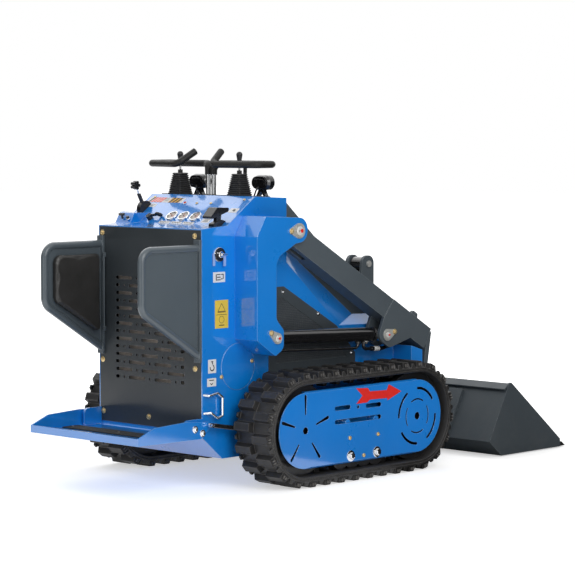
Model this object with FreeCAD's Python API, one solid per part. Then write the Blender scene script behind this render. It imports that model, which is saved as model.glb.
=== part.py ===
"""Mini track loader: a stand-on skid steer on two rubber tracks, with a bucket.

Frame: X forward, Y to the machine's left, Z up, millimetres. The origin is on
the ground, midway along the machine's length and width. Places along the
machine are given as distances ahead of the rear panel and turned into X by
ahead(). Right-hand pieces are modelled and mirrored for the left.
"""
import FreeCAD, Part
import math
import os

V = FreeCAD.Vector


# --------------------------------------------------------------- corner helpers
def near(place, forward, up, *radius):
    """Outline corner at an offset from a place (ahead, height)."""
    return (place[0] + forward, place[1] + up) + radius


def along_arm(distance, above, *radius):
    """Outline corner from the arm pivot: along the arm and above its axis."""
    slope = math.radians(ARM_SLOPE)
    return (ARM_PIVOT[0] + distance * math.cos(slope) + above * math.sin(slope),
            ARM_PIVOT[1] - distance * math.sin(slope) + above * math.cos(slope)) + radius


# ---------------------------------------------------------------- driving sizes
# hull
BODY_HALF_WIDTH = 272.0      # outer face of the body's side panels
SIDE_SHEET = 4.0             # thickness of the side panels
SKIN_SHEET = 4.0             # thickness of console, hood and rear panel sheets
FRAME_PLATE = 8.0            # thickness of belly and nose plates
REAR_PANEL_TOP = 932.0
REAR_PANEL_BOTTOM = 212.0
BELLY_HEIGHT = 109.0         # ground clearance
NOSE_AHEAD = 1075.0          # front face of the hull, ahead of the rear panel
NOSE_LEDGE = 425.0           # height of the nose's front edge
SHOULDER_WIDTH = 40.0        # sloping shoulder between side panel and hood
SEAM = 2.0                   # how far one welded piece runs into the next

# perforated rear panel
HOLE_ROWS = 14
HOLE_ROW_PITCH = 28.0
HOLE_TOP_ROW = 747.0         # height of the upper row
HOLE_PITCH = 137.0           # slot to slot along a row
HOLE_FIELD = 182.0           # half width of the perforated field
SLOT_LENGTH = 88.0
SLOT_RADIUS = 6.0
DOT_RADIUS = 4.5

# nose lugs
TIE_DOWN_REACH = 17.0        # hole of each tie-down lug, ahead of the nose plate
TIE_DOWN_HEIGHT = 205.0
TIE_DOWN_HALF = 27.0
TIE_DOWN_RADIUS = 11.0
TIE_DOWN_INSET = 40.0        # lug's middle, inside the body's side

# tracks
TRACK_WIDTH = 180.0
TRACK_GAP = 42.0             # body side to the track
TRACK_RADIUS = 208.0         # over the lugs, and the height of both wheel axles
SPROCKET_AHEAD = 315.0
WHEEL_BASE = 615.0           # sprocket axle to idler axle
LUG_HEIGHT = 22.0
LUG_COUNT = 31               # lugs in each of a track's two rows
LUG_BASE = 40.0
LUG_TIP = 29.0
LUG_GROOVE = 8.0             # groove between the two rows of lugs
LUG_ROOT = 6.0               # how far a lug runs into the belt
BELT_THICKNESS = 20.0
GUIDE_HEIGHT = 22.0          # teeth on the inside of the belt
GUIDE_WIDTH = 42.0
GUIDE_BASE = 30.0
GUIDE_TIP = 18.0
GUIDE_GAP = 4.0              # guide teeth to the wheel's rims
WHEEL_CORE = 130.0           # radius of a wheel between its rims
WHEEL_HUB = 55.0
WHEEL_HOLES = 6              # lightening holes through each wheel
WHEEL_HOLE_RADIUS = 20.0
WHEEL_GAP = 0.4              # wheel to the inside of the belt
ROLLER_RADIUS = 45.0
ROLLER_COUNT = 4
ROLLER_PROUD = 2.0           # roller wider than a wheel's rim
ROLLER_AXLE = 14.0
TRACK_BEAM_WIDTH = 80.0

# track covers
COVER_INSET = 13.0           # cover's face, inside the track's outer edge
COVER_RADIUS = 140.0         # half height of the cover
COVER_DEPTH = 20.0           # depth of its folded edges
COVER_GAP = 6.0              # folded edges to the wheels' rims
COVER_SHEET = 4.0
COVER_BEVEL = 6.0
COVER_HUB_HOLE = 13.0
COVER_SPOKES = 5             # tapered slots round the sprocket's hole
COVER_SPOKE_FROM = 60.0
COVER_SPOKE_TO = 124.0
COVER_VENT_X = (155.0, 409.0)     # long vent, ahead of the sprocket
COVER_ARC_RADIUS = (64.0, 105.0)  # middle of inner and outer curved slots
COVER_ARC_WIDTH = (5.0, 10.0)

# loader towers and arms
TOWER_PLATE = 12.0           # outer plate of each tower
TOWER_INNER_PLATE = 10.0
TOWER_WRAP_PLATE = 6.0
ARM_GAP = 8.0                # arm to the tower plate on each side
ARM_WIDTH = 75.0
ARM_PIVOT = (381.0, 922.0)   # ahead of the rear panel, height
ARM_PIN_RADIUS = 20.0
ARM_SLOPE = 30.0             # degrees below level, with the arms down
ARM_DEPTH = 84.0
ARM_TOP_OFFSET = 31.0        # pivot to the arm's upper face
REST_LINE = 524.0            # arm's upper face over the hull's arm rest
ARM_TAIL = 45.0              # pivot back to the arm's rear end
CROSS_BEAM = 108.0           # length of the cross beam along the arm
GUSSET_PLATE = 12.0
GUSSET_PROUD = 3.0           # outer gusset beyond the arm's side
GUSSET_START = 594.0         # pivot to the gusset's rear edge, along the arm
ARM_POCKET = (40.0, 130.0)   # slot in the arm's underside, along the arm
ARM_POCKET_WIDTH = 26.0
ARM_POCKET_DEPTH = 30.0
CLIP_ALONG = 750.0           # hose clip lug on the arm's upper face
LEG_REACH = 127.0            # arm's front end to the bucket pivot, forward
LEG_CENTRE_Y = 160.0
LEG_WIDTH = 40.0
BUCKET_PIVOT = (1270.0, 130.0)
BUCKET_PIN_RADIUS = 15.0
PIN_CLEARANCE = 0.05
PIN_PROUD = 6.0              # pin's end beyond its outer plate
FLAG_PLATE = 5.0             # retainer plate on a pin's end
FLAG_TIP_RADIUS = 9.0

# cylinders
LIFT_BASE_PIN = (267.0, 538.0)
LIFT_ROD_ALONG = 642.0       # lift rod pin from the arm pivot, along the arm
LIFT_ROD_BELOW = 103.9       # and below the arm's axis
LIFT_BARREL_RADIUS = 27.0
LIFT_ROD_RADIUS = 14.0
LIFT_EYE_RADIUS = 26.0
LIFT_EYE_WIDTH = 40.0
LIFT_EYE_TO_GLAND = 29.0     # rod eye to the barrel, fully in
OIL_LINE_RADIUS = 5.5
OIL_LINE_DROP = 23.0         # oil line below the barrel's surface
OIL_LINE_BEND = 16.0
OIL_LINE_INSET = 32.0        # ports from the barrel's two ends
HOSE_RADIUS = 7.0
HOSE_DROP = 27.0             # hose below the barrel's surface
HOSE_LEVEL = 108.0           # straight stretch of the hose, from its port
HOSE_REACH = 181.0           # hose's front end, from its port
TILT_MAST = 239.0            # tilt base pin above the arm's front end
TILT_BARREL_RADIUS = 27.0
TILT_ROD_RADIUS = 13.0
TILT_RETRACT = 36.0          # further in than at rest, with the bucket curled back
TILT_EYE_TO_GLAND = 8.0
TILT_EYE_RADIUS = 26.0
TILT_EYE_WIDTH = 54.0
TILT_EYE_SIDE = 6.0          # eye to the ear on each side
CYLINDER_PIN_RADIUS = 12.5
CYLINDER_WALL = 6.0
GLAND_LENGTH = 24.0
BARREL_FLOOR = 14.0
PISTON_LENGTH = 16.0
PISTON_GAP = 6.0             # piston to the barrel's floor, fully in
EYE_SIDE_GAP = 5.5
EAR_PLATE = 12.0

# bucket and its carrier plate
BUCKET_HALF_WIDTH = 480.0
BUCKET_REACH = 552.0         # pivot to the floor sheet's front edge
BUCKET_SHEET = 6.0
BUCKET_SIDE = 8.0
BUCKET_FLOOR = 4.0           # underside above the ground
EDGE_THICKNESS = 12.0
EDGE_REACH = 43.0            # cutting edge beyond the floor sheet
EDGE_LAP = 40.0              # cutting edge over the floor sheet
CARRIER_HALF_WIDTH = 270.0
CARRIER_PLATE = 12.0

# standing platform
DECK_REAR = -323.0
DECK_HEIGHT = 194.0
DECK_PLATE = 6.0
DECK_SIDE_GAP = 8.0          # body side to the deck's side gusset
PLATFORM_PIVOT = (-49.0, 229.0)
PLATFORM_PIN_RADIUS = 8.0
BRACKET_PLATE = 10.0
STRIP_LENGTH = 75.0
STRIP_PITCH = 110.0
STRIP_HEIGHT = 4.0
STRUT_BARREL_RADIUS = 8.5
STRUT_ROD_RADIUS = 4.0
STRUT_WALL = 1.9
STRUT_BASE_PIN = (210.0, 206.0)
STRUT_EYE_TO_GLAND = 6.0
STRUT_EYE_RADIUS = 8.0
STRUT_EYE_WIDTH = 10.0
STRUT_PIN_RADIUS = 4.0
STRUT_COLLAR = 5.0           # collar on the strut's stud, beyond the stud's radius

# thigh supports
WING_TUBE_RADIUS = 13.5
WING_INSET = 15.5            # tube's middle, inside the body's side
WING_REACH = 277.0           # behind the rear panel
WING_TOP = 868.0
WING_LOW_REAR = 655.0
WING_BOTTOM = 482.0
WING_BEND = 45.0
WING_SHEET = 4.0
WING_BAR = 30.0              # width of the flat bar on the rear panel
WING_BAR_PLATE = 10.0
PAD_THICKNESS = 24.0
PAD_MARGIN = 26.0            # pad inside the tube's middle line

# console
CONSOLE_SHELF = 128.0        # depth of the flat shelf behind the slope
CONSOLE_FALL = 9.0           # how far the shelf falls to the rear
CONSOLE_TOP_AHEAD = 270.0
CONSOLE_RISE = 101.0         # height of the sloping face
DECK_TOP_AHEAD = 434.0
DECK_FALL = 8.0              # how far the top deck falls to the front
STEP_BOX_Y = 190.0           # inner side of the switch box
GAUGE_AHEAD = 160.0
GAUGE_SHIFT = -17.0
GAUGE_PITCH = 62.0
GAUGE_RADIUS = 24.5
GAUGE_HEIGHT = 8.0
BEZEL = 3.0                  # rim round each gauge's face

# handles, levers and lights
HANDLE_RADIUS = 13.0
HANDLE_BEND = 26.0
HANDLE_LEVEL = 1161.0
HANDLE_NEAR = 268.0          # rear bar of each handle loop
HANDLE_FAR = 366.0           # front bar
HANDLE_OUT = 279.0           # outer end of each handle loop
GRIP_RISE = 46.0
POST_AHEAD = 314.0
POST_Y = 14.0
POST_RADIUS = 9.0
POST_TOP = 1122.0
LEVER_AHEAD = 306.0
LEVER_Y = 156.0
BELLOWS_BASE = 75.0
BELLOWS_TOP = 45.0
BELLOWS_HEIGHT = 80.0
BELLOWS_RIBS = 13
BELLOWS_GROOVE = 3.0
KNOB_RADIUS = 11.5
KNOB_TOP = 1207.0
LIGHT_AHEAD = 416.0
LIGHT_Y = 166.0
LIGHT_HEIGHT = 1092.0
LIGHT_HALF = 44.0            # half width of the oval lamp
LIGHT_RADIUS = 28.0          # half height
GRAB_RADIUS = 4.5
GRAB_OUT = 14.0

# ------------------------------------------------------------------ fitted sizes
BUCKET_FRONT = BUCKET_PIVOT[0] + BUCKET_REACH + EDGE_REACH
REAR_PANEL_X = -(DECK_REAR + BUCKET_FRONT) / 2
SHEET_FACE_Y = BODY_HALF_WIDTH - SIDE_SHEET
HOOD_Y = BODY_HALF_WIDTH - SHOULDER_WIDTH
TOWER_INNER_Y = BODY_HALF_WIDTH + TOWER_INNER_PLATE
ARM_INNER_Y = TOWER_INNER_Y + ARM_GAP
ARM_OUTER_Y = ARM_INNER_Y + ARM_WIDTH
TOWER_FACE_Y = ARM_OUTER_Y + ARM_GAP + TOWER_PLATE
GUSSET_Y = ARM_OUTER_Y + GUSSET_PROUD
LIFT_CENTRE_Y = (ARM_INNER_Y + ARM_OUTER_Y) / 2
TRACK_CENTRE_Y = BODY_HALF_WIDTH + TRACK_GAP + TRACK_WIDTH / 2
COVER_FACE_Y = TRACK_CENTRE_Y + TRACK_WIDTH / 2 - COVER_INSET
RIM_OUTER = TRACK_WIDTH / 2 - COVER_INSET - COVER_DEPTH - COVER_GAP
RIM_WIDTH = RIM_OUTER - GUIDE_WIDTH / 2 - GUIDE_GAP
ROLLER_WIDTH = RIM_WIDTH + ROLLER_PROUD
IDLER_AHEAD = SPROCKET_AHEAD + WHEEL_BASE
AXLE_Z = TRACK_RADIUS
BELT_OUTER = TRACK_RADIUS - LUG_HEIGHT
BELT_INNER = BELT_OUTER - BELT_THICKNESS
ARM_LOW = ARM_TOP_OFFSET - ARM_DEPTH
ARM_RUN = BUCKET_PIVOT[0] - LEG_REACH - ARM_PIVOT[0] - ARM_TOP_OFFSET * math.sin(math.radians(ARM_SLOPE))
ARM_LENGTH = ARM_RUN / math.cos(math.radians(ARM_SLOPE))
ARM_TIP = along_arm(ARM_LENGTH, ARM_TOP_OFFSET)
LIFT_ROD_PIN = along_arm(LIFT_ROD_ALONG, -LIFT_ROD_BELOW)
TILT_BASE_PIN = near(ARM_TIP, -3.0, TILT_MAST)
TILT_ROD_PIN = near(BUCKET_PIVOT, 80.0, 120.0)
TILT_EAR_HALF = TILT_EYE_WIDTH / 2 + TILT_EYE_SIDE
STRUT_ROD_PIN = near(PLATFORM_PIVOT, 63.0, 11.0)
DECK_HALF_WIDTH = BODY_HALF_WIDTH + DECK_SIDE_GAP + DECK_PLATE
STRUT_CENTRE_Y = DECK_HALF_WIDTH + EYE_SIDE_GAP + STRUT_BARREL_RADIUS
WING_Y = BODY_HALF_WIDTH - WING_INSET
SHELF_REAR = REAR_PANEL_TOP + SKIN_SHEET
SHELF_FRONT = SHELF_REAR + CONSOLE_FALL
CONSOLE_TOP = SHELF_FRONT + CONSOLE_RISE
DECK_FRONT = CONSOLE_TOP - DECK_FALL


# ------------------------------------------------------------------ small tools
def ahead(distance):
    """X of a place given as its distance ahead of the rear panel."""
    return REAR_PANEL_X + distance


def box(x_range, y_range, z_range):
    """Box between two distances ahead of the rear panel, two Y and two Z."""
    size = [high - low for low, high in (x_range, y_range, z_range)]
    corner = V(ahead(x_range[0]), y_range[0], z_range[0])
    return Part.makeBox(size[0], size[1], size[2], corner)


def rod_y(place, radius, y_from, y_to):
    """Round bar along Y about a place (ahead, height)."""
    start = V(ahead(place[0]), min(y_from, y_to), place[1])
    return Part.makeCylinder(radius, abs(y_to - y_from), start, V(0, 1, 0))


def rod_between(start, end, radius):
    """Round bar between two points."""
    run = end.sub(start)
    return Part.makeCylinder(radius, run.Length, start, run)


def rounded_wire(corners):
    """Closed wire in the XZ plane through corners (across, height, radius)."""
    points = [V(corner[0], 0, corner[1]) for corner in corners]
    radii = [corner[2] if len(corner) > 2 else 0.0 for corner in corners]
    starts = []
    ends = []
    arcs = []
    for index, point in enumerate(points):
        before = points[index - 1].sub(point).normalize()
        after = points[(index + 1) % len(points)].sub(point).normalize()
        radius = radii[index]
        if radius == 0.0:
            starts.append(point)
            ends.append(point)
            arcs.append(None)
            continue
        half = before.getAngle(after) / 2
        setback = radius / math.tan(half)
        middle_way = before.add(after).normalize()
        centre = point.add(middle_way.multiply(radius / math.sin(half)))
        to_corner = point.sub(centre).normalize().multiply(radius)
        starts.append(point.add(before.multiply(setback)))
        ends.append(point.add(after.multiply(setback)))
        arcs.append(centre.add(to_corner))
    edges = []
    for index in range(len(points)):
        if arcs[index] is not None:
            edges.append(Part.Arc(starts[index], arcs[index], ends[index]).toShape())
        following = starts[(index + 1) % len(points)]
        if ends[index].distanceToPoint(following) > 1e-6:
            edges.append(Part.LineSegment(ends[index], following).toShape())
    return Part.Wire(edges)


def side_face(corners, y):
    """Flat face parallel to the machine's side, from corners (ahead, height, radius)."""
    face = Part.Face(rounded_wire(corners))
    face.translate(V(REAR_PANEL_X, y, 0))
    return face


def plate(corners, y_from, y_to):
    """Plate parallel to the machine's side, with a rounded outline."""
    return side_face(corners, min(y_from, y_to)).extrude(V(0, abs(y_to - y_from), 0))


def cross_plate(corners, x_from, x_to):
    """Plate across the machine, from corners (Y, height, radius)."""
    face = Part.Face(rounded_wire(corners))
    face.rotate(V(0, 0, 0), V(0, 0, 1), 90.0)
    face.translate(V(ahead(min(x_from, x_to)), 0, 0))
    return face.extrude(V(abs(x_to - x_from), 0, 0))


def slot_corners(low, high, middle, radius):
    """Corners of a round-ended slot along the first axis."""
    rounding = radius * 0.9999
    return [(low, middle - radius, rounding), (high, middle - radius, rounding),
            (high, middle + radius, rounding), (low, middle + radius, rounding)]


def folded_sheet(line, thickness, y_from, y_to):
    """Sheet folded along a line of (ahead, height), its thickness to the left."""
    inner = []
    for index, point in enumerate(line):
        normals = []
        if index > 0:
            normals.append(left_normal(line[index - 1], point))
        if index < len(line) - 1:
            normals.append(left_normal(point, line[index + 1]))
        mean = [sum(part) / len(normals) for part in zip(*normals)]
        scale = thickness / (mean[0] ** 2 + mean[1] ** 2)
        inner.append((point[0] + mean[0] * scale, point[1] + mean[1] * scale))
    return plate(list(line) + inner[::-1], y_from, y_to)


def left_normal(start, end):
    """Unit normal to the left of a run from start to end."""
    run = (end[0] - start[0], end[1] - start[1])
    length = math.hypot(run[0], run[1])
    return (-run[1] / length, run[0] / length)


def bent_rod(points, bend, radius):
    """Round bar along points, with a tangent arc of one bend radius at each turn."""
    pieces = []
    start = points[0]
    for before, corner, after in zip(points, points[1:], points[2:]):
        back = before.sub(corner).normalize()
        onward = after.sub(corner).normalize()
        half = back.getAngle(onward) / 2
        setback = bend / math.tan(half)
        entry = corner.add(V(back).multiply(setback))
        leave = corner.add(V(onward).multiply(setback))
        centre = corner.add(back.add(onward).normalize().multiply(bend / math.sin(half)))
        axis = entry.sub(centre).cross(leave.sub(centre))
        disc = Part.Face(Part.Wire(Part.Circle(entry, back, radius).toShape()))
        pieces.append(rod_between(start, entry, radius))
        pieces.append(disc.revolve(centre, axis, 180.0 - math.degrees(2 * half)))
        start = leave
    pieces.append(rod_between(start, points[-1], radius))
    return fused(pieces)


def turned(profile, base, way):
    """Solid of revolution from (radius, place along the axis), standing at base along way."""
    points = [V(radius, 0, along) for radius, along in profile]
    solid = Part.Face(Part.makePolygon(points + [points[0]])).revolve(V(0, 0, 0), V(0, 0, 1), 360.0)
    solid.Placement = FreeCAD.Placement(base, FreeCAD.Rotation(V(0, 0, 1), way))
    return solid


def mirrored(shape):
    """The same piece on the machine's left side."""
    return shape.mirror(V(0, 0, 0), V(0, 1, 0))


def both_sides(shape):
    """The right piece and its mirror image as two solids of one node."""
    return Part.makeCompound([shape, mirrored(shape)])


def fused(shapes):
    """One solid from pieces that touch or overlap."""
    return shapes[0].multiFuse(shapes[1:]).removeSplitter()


# ------------------------------------------------------------------------- hull
BELLY_REAR = 190.0           # height of the belly plate's rear edge
BELLY_BEND = 100.0           # where the belly plate turns up to the rear
BELLY_FRONT = 1000.0         # where it turns up to the nose
NOSE_LOW = 200.0
BULKHEADS = (150.0, 880.0)
BULKHEAD_TOP = 400.0
HOOD_FOOT = (NOSE_AHEAD - 90.0, 582.0)
NOSE_LINE = [(NOSE_AHEAD, NOSE_LEDGE), near(HOOD_FOOT, 0, -104.0), HOOD_FOOT]
HOOD_LINE = [HOOD_FOOT, (930.0, 629.0), (DECK_TOP_AHEAD + 20, DECK_FRONT - 1), (DECK_TOP_AHEAD, DECK_FRONT)]
SHOULDER_LOW = [near(HOOD_FOOT, -FRAME_PLATE, -36.0), (720.0, 552.0), (DECK_TOP_AHEAD, DECK_FRONT - 237)]
SHOULDER_HIGH = [near(HOOD_FOOT, -FRAME_PLATE, 0.0), (836.0, 586.0), (DECK_TOP_AHEAD, DECK_FRONT - 164)]
CONSOLE_LINE = [(DECK_TOP_AHEAD, DECK_FRONT), (CONSOLE_TOP_AHEAD, CONSOLE_TOP), (CONSOLE_SHELF, SHELF_FRONT),
                (0.0, SHELF_REAR)]
GRILLE_WINDOW = [(346.0, 400.0), (800.0, 400.0), (800.0, 440.0), (700.0, 545.0), (415.0, 705.0),
                 (346.0, 705.0)]
GRILLE_LAP = 8.0             # grille frame over the panel round its window
GRILLE_BORDER = 32.0
GRILLE_FRAME = 3.0


def main_frame():
    """Belly and nose plates, two bulkheads and the tie-down lugs."""
    line = [(SKIN_SHEET, REAR_PANEL_BOTTOM + 30), (SKIN_SHEET, BELLY_REAR), (BELLY_BEND, BELLY_HEIGHT),
            (BELLY_FRONT, BELLY_HEIGHT), (NOSE_AHEAD, NOSE_LOW)] + NOSE_LINE
    shell = folded_sheet(line, FRAME_PLATE, -SHEET_FACE_Y, SHEET_FACE_Y)
    low = SHOULDER_LOW[0][1]
    for side in (-1, 1):
        corner = [(side * BODY_HALF_WIDTH, low), (side * HOOD_Y, HOOD_FOOT[1]),
                  (side * HOOD_Y, HOOD_FOOT[1] + 1), (side * BODY_HALF_WIDTH, HOOD_FOOT[1] + 1)]
        shell = shell.cut(cross_plate(corner, HOOD_FOOT[0] - 20, HOOD_FOOT[0] + 20))
    pieces = [shell]
    for place in BULKHEADS:
        pieces.append(box((place, place + FRAME_PLATE), (-SHEET_FACE_Y, SHEET_FACE_Y),
                          (BELLY_HEIGHT + FRAME_PLATE / 2, BULKHEAD_TOP)))
    middle = BODY_HALF_WIDTH - TIE_DOWN_INSET
    centre = V(ahead(NOSE_AHEAD + TIE_DOWN_REACH), -middle, TIE_DOWN_HEIGHT)
    tongue = box((NOSE_AHEAD - SEAM, NOSE_AHEAD + TIE_DOWN_REACH),
                 (-middle - TIE_DOWN_HALF, -middle + TIE_DOWN_HALF),
                 (TIE_DOWN_HEIGHT, TIE_DOWN_HEIGHT + EAR_PLATE))
    lug = fused([tongue, Part.makeCylinder(TIE_DOWN_HALF, EAR_PLATE, centre)])
    lug = lug.cut(Part.makeCylinder(TIE_DOWN_RADIUS, EAR_PLATE, centre))
    return fused(pieces + [lug, mirrored(lug)])


def side_panel():
    """Right side sheet with its shoulder, grille opening, arm rest, platform lug and strut stud."""
    outline = [(0.0, BELLY_REAR + 3), (BELLY_BEND, BELLY_HEIGHT), (BELLY_FRONT, BELLY_HEIGHT),
               (NOSE_AHEAD, NOSE_LOW)]
    outline += NOSE_LINE[:2] + [near(HOOD_FOOT, 0, -36.0)] + SHOULDER_LOW + CONSOLE_LINE
    sheet = plate(outline, -BODY_HALF_WIDTH, -SHEET_FACE_Y)
    sheet = sheet.cut(plate(GRILLE_WINDOW, -BODY_HALF_WIDTH - 1, -SHEET_FACE_Y + 1))
    rear, front, top = NOSE_AHEAD - 45, NOSE_AHEAD + 20, REST_LINE - ARM_DEPTH
    rest = plate([(rear, 402.0), (front, 390.0), (front, top), (rear, top + 20)],
                 -ARM_OUTER_Y, -BODY_HALF_WIDTH + 1)
    lug = plate([near(PLATFORM_PIVOT, -36.0, -29.0, 10.0), (34.0, PLATFORM_PIVOT[1] - 29),
                 (34.0, PLATFORM_PIVOT[1] + 33), near(PLATFORM_PIVOT, -36.0, 33.0, 20.0)],
                -BODY_HALF_WIDTH, -BODY_HALF_WIDTH + BRACKET_PLATE)
    lug = lug.cut(rod_y(PLATFORM_PIVOT, PLATFORM_PIN_RADIUS, -BODY_HALF_WIDTH,
                        -BODY_HALF_WIDTH + BRACKET_PLATE))
    lug = lug.cut(box((0.0, 60.0), (-SHEET_FACE_Y, 0.0), (150.0, 300.0)))
    stud = rod_y(STRUT_BASE_PIN, STRUT_PIN_RADIUS, -SHEET_FACE_Y - SEAM,
                 -STRUT_CENTRE_Y - STRUT_EYE_WIDTH / 2 - 3)
    collar = rod_y(STRUT_BASE_PIN, STRUT_PIN_RADIUS + STRUT_COLLAR, -BODY_HALF_WIDTH,
                   -STRUT_CENTRE_Y + STRUT_BARREL_RADIUS + 1)
    pin = rod_y(PLATFORM_PIVOT, PLATFORM_PIN_RADIUS, -BODY_HALF_WIDTH + BRACKET_PLATE, -DECK_HALF_WIDTH - 3)
    return fused([sheet, shoulder(), rest, lug, stud, collar, pin])


def shoulder():
    """Sheet that slopes from the side panel's edge in to the hood's foot."""
    bands = []
    for y, line in ((-BODY_HALF_WIDTH, SHOULDER_LOW), (-HOOD_Y, SHOULDER_HIGH)):
        below = [near(corner, 0, -SIDE_SHEET) for corner in line]
        bands.append(side_face(line + below[::-1], y))
    slope = Part.makeLoft([band.OuterWire for band in bands], True, True)
    return fused([slope, bands[1].extrude(V(0, SIDE_SHEET + SEAM, 0))])


def rear_panel():
    """Rear panel with staggered rows of slots and dots."""
    panel = box((0.0, SKIN_SHEET), (-SHEET_FACE_Y, SHEET_FACE_Y), (REAR_PANEL_BOTTOM, REAR_PANEL_TOP))
    tools = []
    for row in range(HOLE_ROWS):
        height = HOLE_TOP_ROW - row * HOLE_ROW_PITCH
        shift = HOLE_PITCH / 2 * (row % 2)
        for step in (-2, -1, 0, 1):
            middle = step * HOLE_PITCH + shift
            tools += slot_tools(middle, height)
            if abs(middle + HOLE_PITCH / 2) < HOLE_FIELD:
                centre = V(ahead(0.0), middle + HOLE_PITCH / 2, height)
                tools.append(Part.makeCylinder(DOT_RADIUS, SKIN_SHEET, centre, V(1, 0, 0)))
    return panel.cut(tools)


def slot_tools(middle, height):
    """One slot of the perforation, cut short by the field's edge; none where it falls outside."""
    low = max(middle - SLOT_LENGTH / 2, -HOLE_FIELD)
    high = min(middle + SLOT_LENGTH / 2, HOLE_FIELD)
    if high - low < 3 * SLOT_RADIUS:
        return []
    return [cross_plate(slot_corners(low, high, height, SLOT_RADIUS), 0.0, SKIN_SHEET)]


def control_console():
    """Shelf, sloped instrument face and top deck, with the switch box and two front strips."""
    sheet = folded_sheet(CONSOLE_LINE, SKIN_SHEET, -SHEET_FACE_Y, SHEET_FACE_Y)
    strip = box((DECK_TOP_AHEAD - SKIN_SHEET, DECK_TOP_AHEAD), (-SHEET_FACE_Y, -HOOD_Y),
                (SHOULDER_HIGH[-1][1] - 70, DECK_FRONT - 1))
    return fused([sheet, step_box(), strip, mirrored(strip)])


def step_box():
    """Small box on the shelf's left end that carries two switch knobs."""
    return plate([(78.0, SHELF_REAR + 2), (102.0, SHELF_REAR + 44, 4.0), (176.0, SHELF_REAR + 43),
                  (CONSOLE_SHELF, SHELF_REAR + 8)], STEP_BOX_Y, SHEET_FACE_Y)


def front_hood():
    """Grey hood between the arms: sloping top and low sides."""
    outline = HOOD_LINE + SHOULDER_HIGH[:0:-1]
    outer = plate(outline, -HOOD_Y, HOOD_Y)
    inner = plate(outline, -HOOD_Y + SKIN_SHEET, HOOD_Y - SKIN_SHEET)
    inner.translate(V(0, 0, -SKIN_SHEET * 1.3))
    return outer.cut(inner)


def side_grilles():
    """Bordered frame over each side panel's opening, with its mesh sheet set back."""
    window = side_face(GRILLE_WINDOW, -BODY_HALF_WIDTH)
    border = window.makeOffset2D(GRILLE_LAP).cut(window.makeOffset2D(-GRILLE_BORDER))
    frame = border.extrude(V(0, -GRILLE_FRAME, 0))
    sheet = plate(GRILLE_WINDOW, -BODY_HALF_WIDTH, -SHEET_FACE_Y)
    return both_sides(fused([frame, sheet]))


def engine_block():
    """Engine and pump as one plain block on the belly plate."""
    return box((420.0, 860.0), (-170.0, 170.0), (BELLY_HEIGHT + FRAME_PLATE, 530.0))


# ----------------------------------------------------------------------- towers
TOWER_OUTLINE = [near(LIFT_BASE_PIN, -102.0, -2.0, 6.0), near(LIFT_BASE_PIN, -8.0, -64.0, 12.0),
                 near(LIFT_BASE_PIN, 35.0, -38.0, 30.0), near(LIFT_BASE_PIN, 35.0, 28.0, 20.0),
                 near(LIFT_BASE_PIN, -3.0, 68.0, 30.0), near(ARM_PIVOT, -117.0, -96.0, 55.0),
                 near(ARM_PIVOT, -16.0, -46.0, 8.0), near(ARM_PIVOT, 46.0, -38.0, 44.0),
                 near(ARM_PIVOT, 46.0, 46.0, 44.0), near(ARM_PIVOT, -172.0, 56.0, 8.0),
                 near(ARM_PIVOT, -216.0, -16.0, 8.0)]
TOWER_WRAP = [near(ARM_PIVOT, -126.0, 54.0), near(ARM_PIVOT, -172.0, 56.0), near(ARM_PIVOT, -216.0, -16.0),
              near(LIFT_BASE_PIN, -102.0, -2.0), near(LIFT_BASE_PIN, -12.0, -62.0)]


def loader_tower():
    """Right tower: inner and outer plates joined by a wrapped rear plate."""
    outer = plate(TOWER_OUTLINE, -TOWER_FACE_Y, -TOWER_FACE_Y + TOWER_PLATE)
    inner = plate(TOWER_OUTLINE, -TOWER_INNER_Y, -BODY_HALF_WIDTH)
    wrap = folded_sheet(TOWER_WRAP, TOWER_WRAP_PLATE, -TOWER_FACE_Y + TOWER_PLATE, -TOWER_INNER_Y)
    tower = fused([outer, inner, wrap])
    for place, radius in ((ARM_PIVOT, ARM_PIN_RADIUS), (LIFT_BASE_PIN, CYLINDER_PIN_RADIUS)):
        tower = tower.cut(rod_y(place, radius, -TOWER_FACE_Y - 1, -BODY_HALF_WIDTH))
    return tower


def tower_pins():
    """Arm pivot pins and lift cylinder base pins, each with its flag plate."""
    pins = []
    for place, radius, tip in ((ARM_PIVOT, ARM_PIN_RADIUS, near(ARM_PIVOT, -43.0, 0.0)),
                               (LIFT_BASE_PIN, CYLINDER_PIN_RADIUS, near(LIFT_BASE_PIN, -34.0, 22.0))):
        shaft = rod_y(place, radius, -TOWER_FACE_Y - PIN_PROUD, -BODY_HALF_WIDTH)
        pins.append(fused([shaft, flag_plate(place, radius + 8, tip, -TOWER_FACE_Y)]))
    return Part.makeCompound(pins + [mirrored(pin) for pin in pins])


def flag_plate(place, radius, tip, y_face):
    """Teardrop retainer round a pin's end, held by one bolt at its tip."""
    run = (tip[0] - place[0], tip[1] - place[1])
    reach = math.hypot(run[0], run[1])
    lean = math.asin((radius - FLAG_TIP_RADIUS) / reach)
    way = math.atan2(run[1], run[0])
    corners = []
    for centre, size, side in ((place, radius, 1), (tip, FLAG_TIP_RADIUS, 1), (tip, FLAG_TIP_RADIUS, -1),
                               (place, radius, -1)):
        angle = way + side * (math.pi / 2 - lean)
        corners.append(near(centre, size * math.cos(angle), size * math.sin(angle)))
    big = rod_y(place, radius, y_face - FLAG_PLATE, y_face)
    small = rod_y(tip, FLAG_TIP_RADIUS, y_face - FLAG_PLATE, y_face)
    return fused([big, small, plate(corners, y_face - FLAG_PLATE, y_face)])


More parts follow.
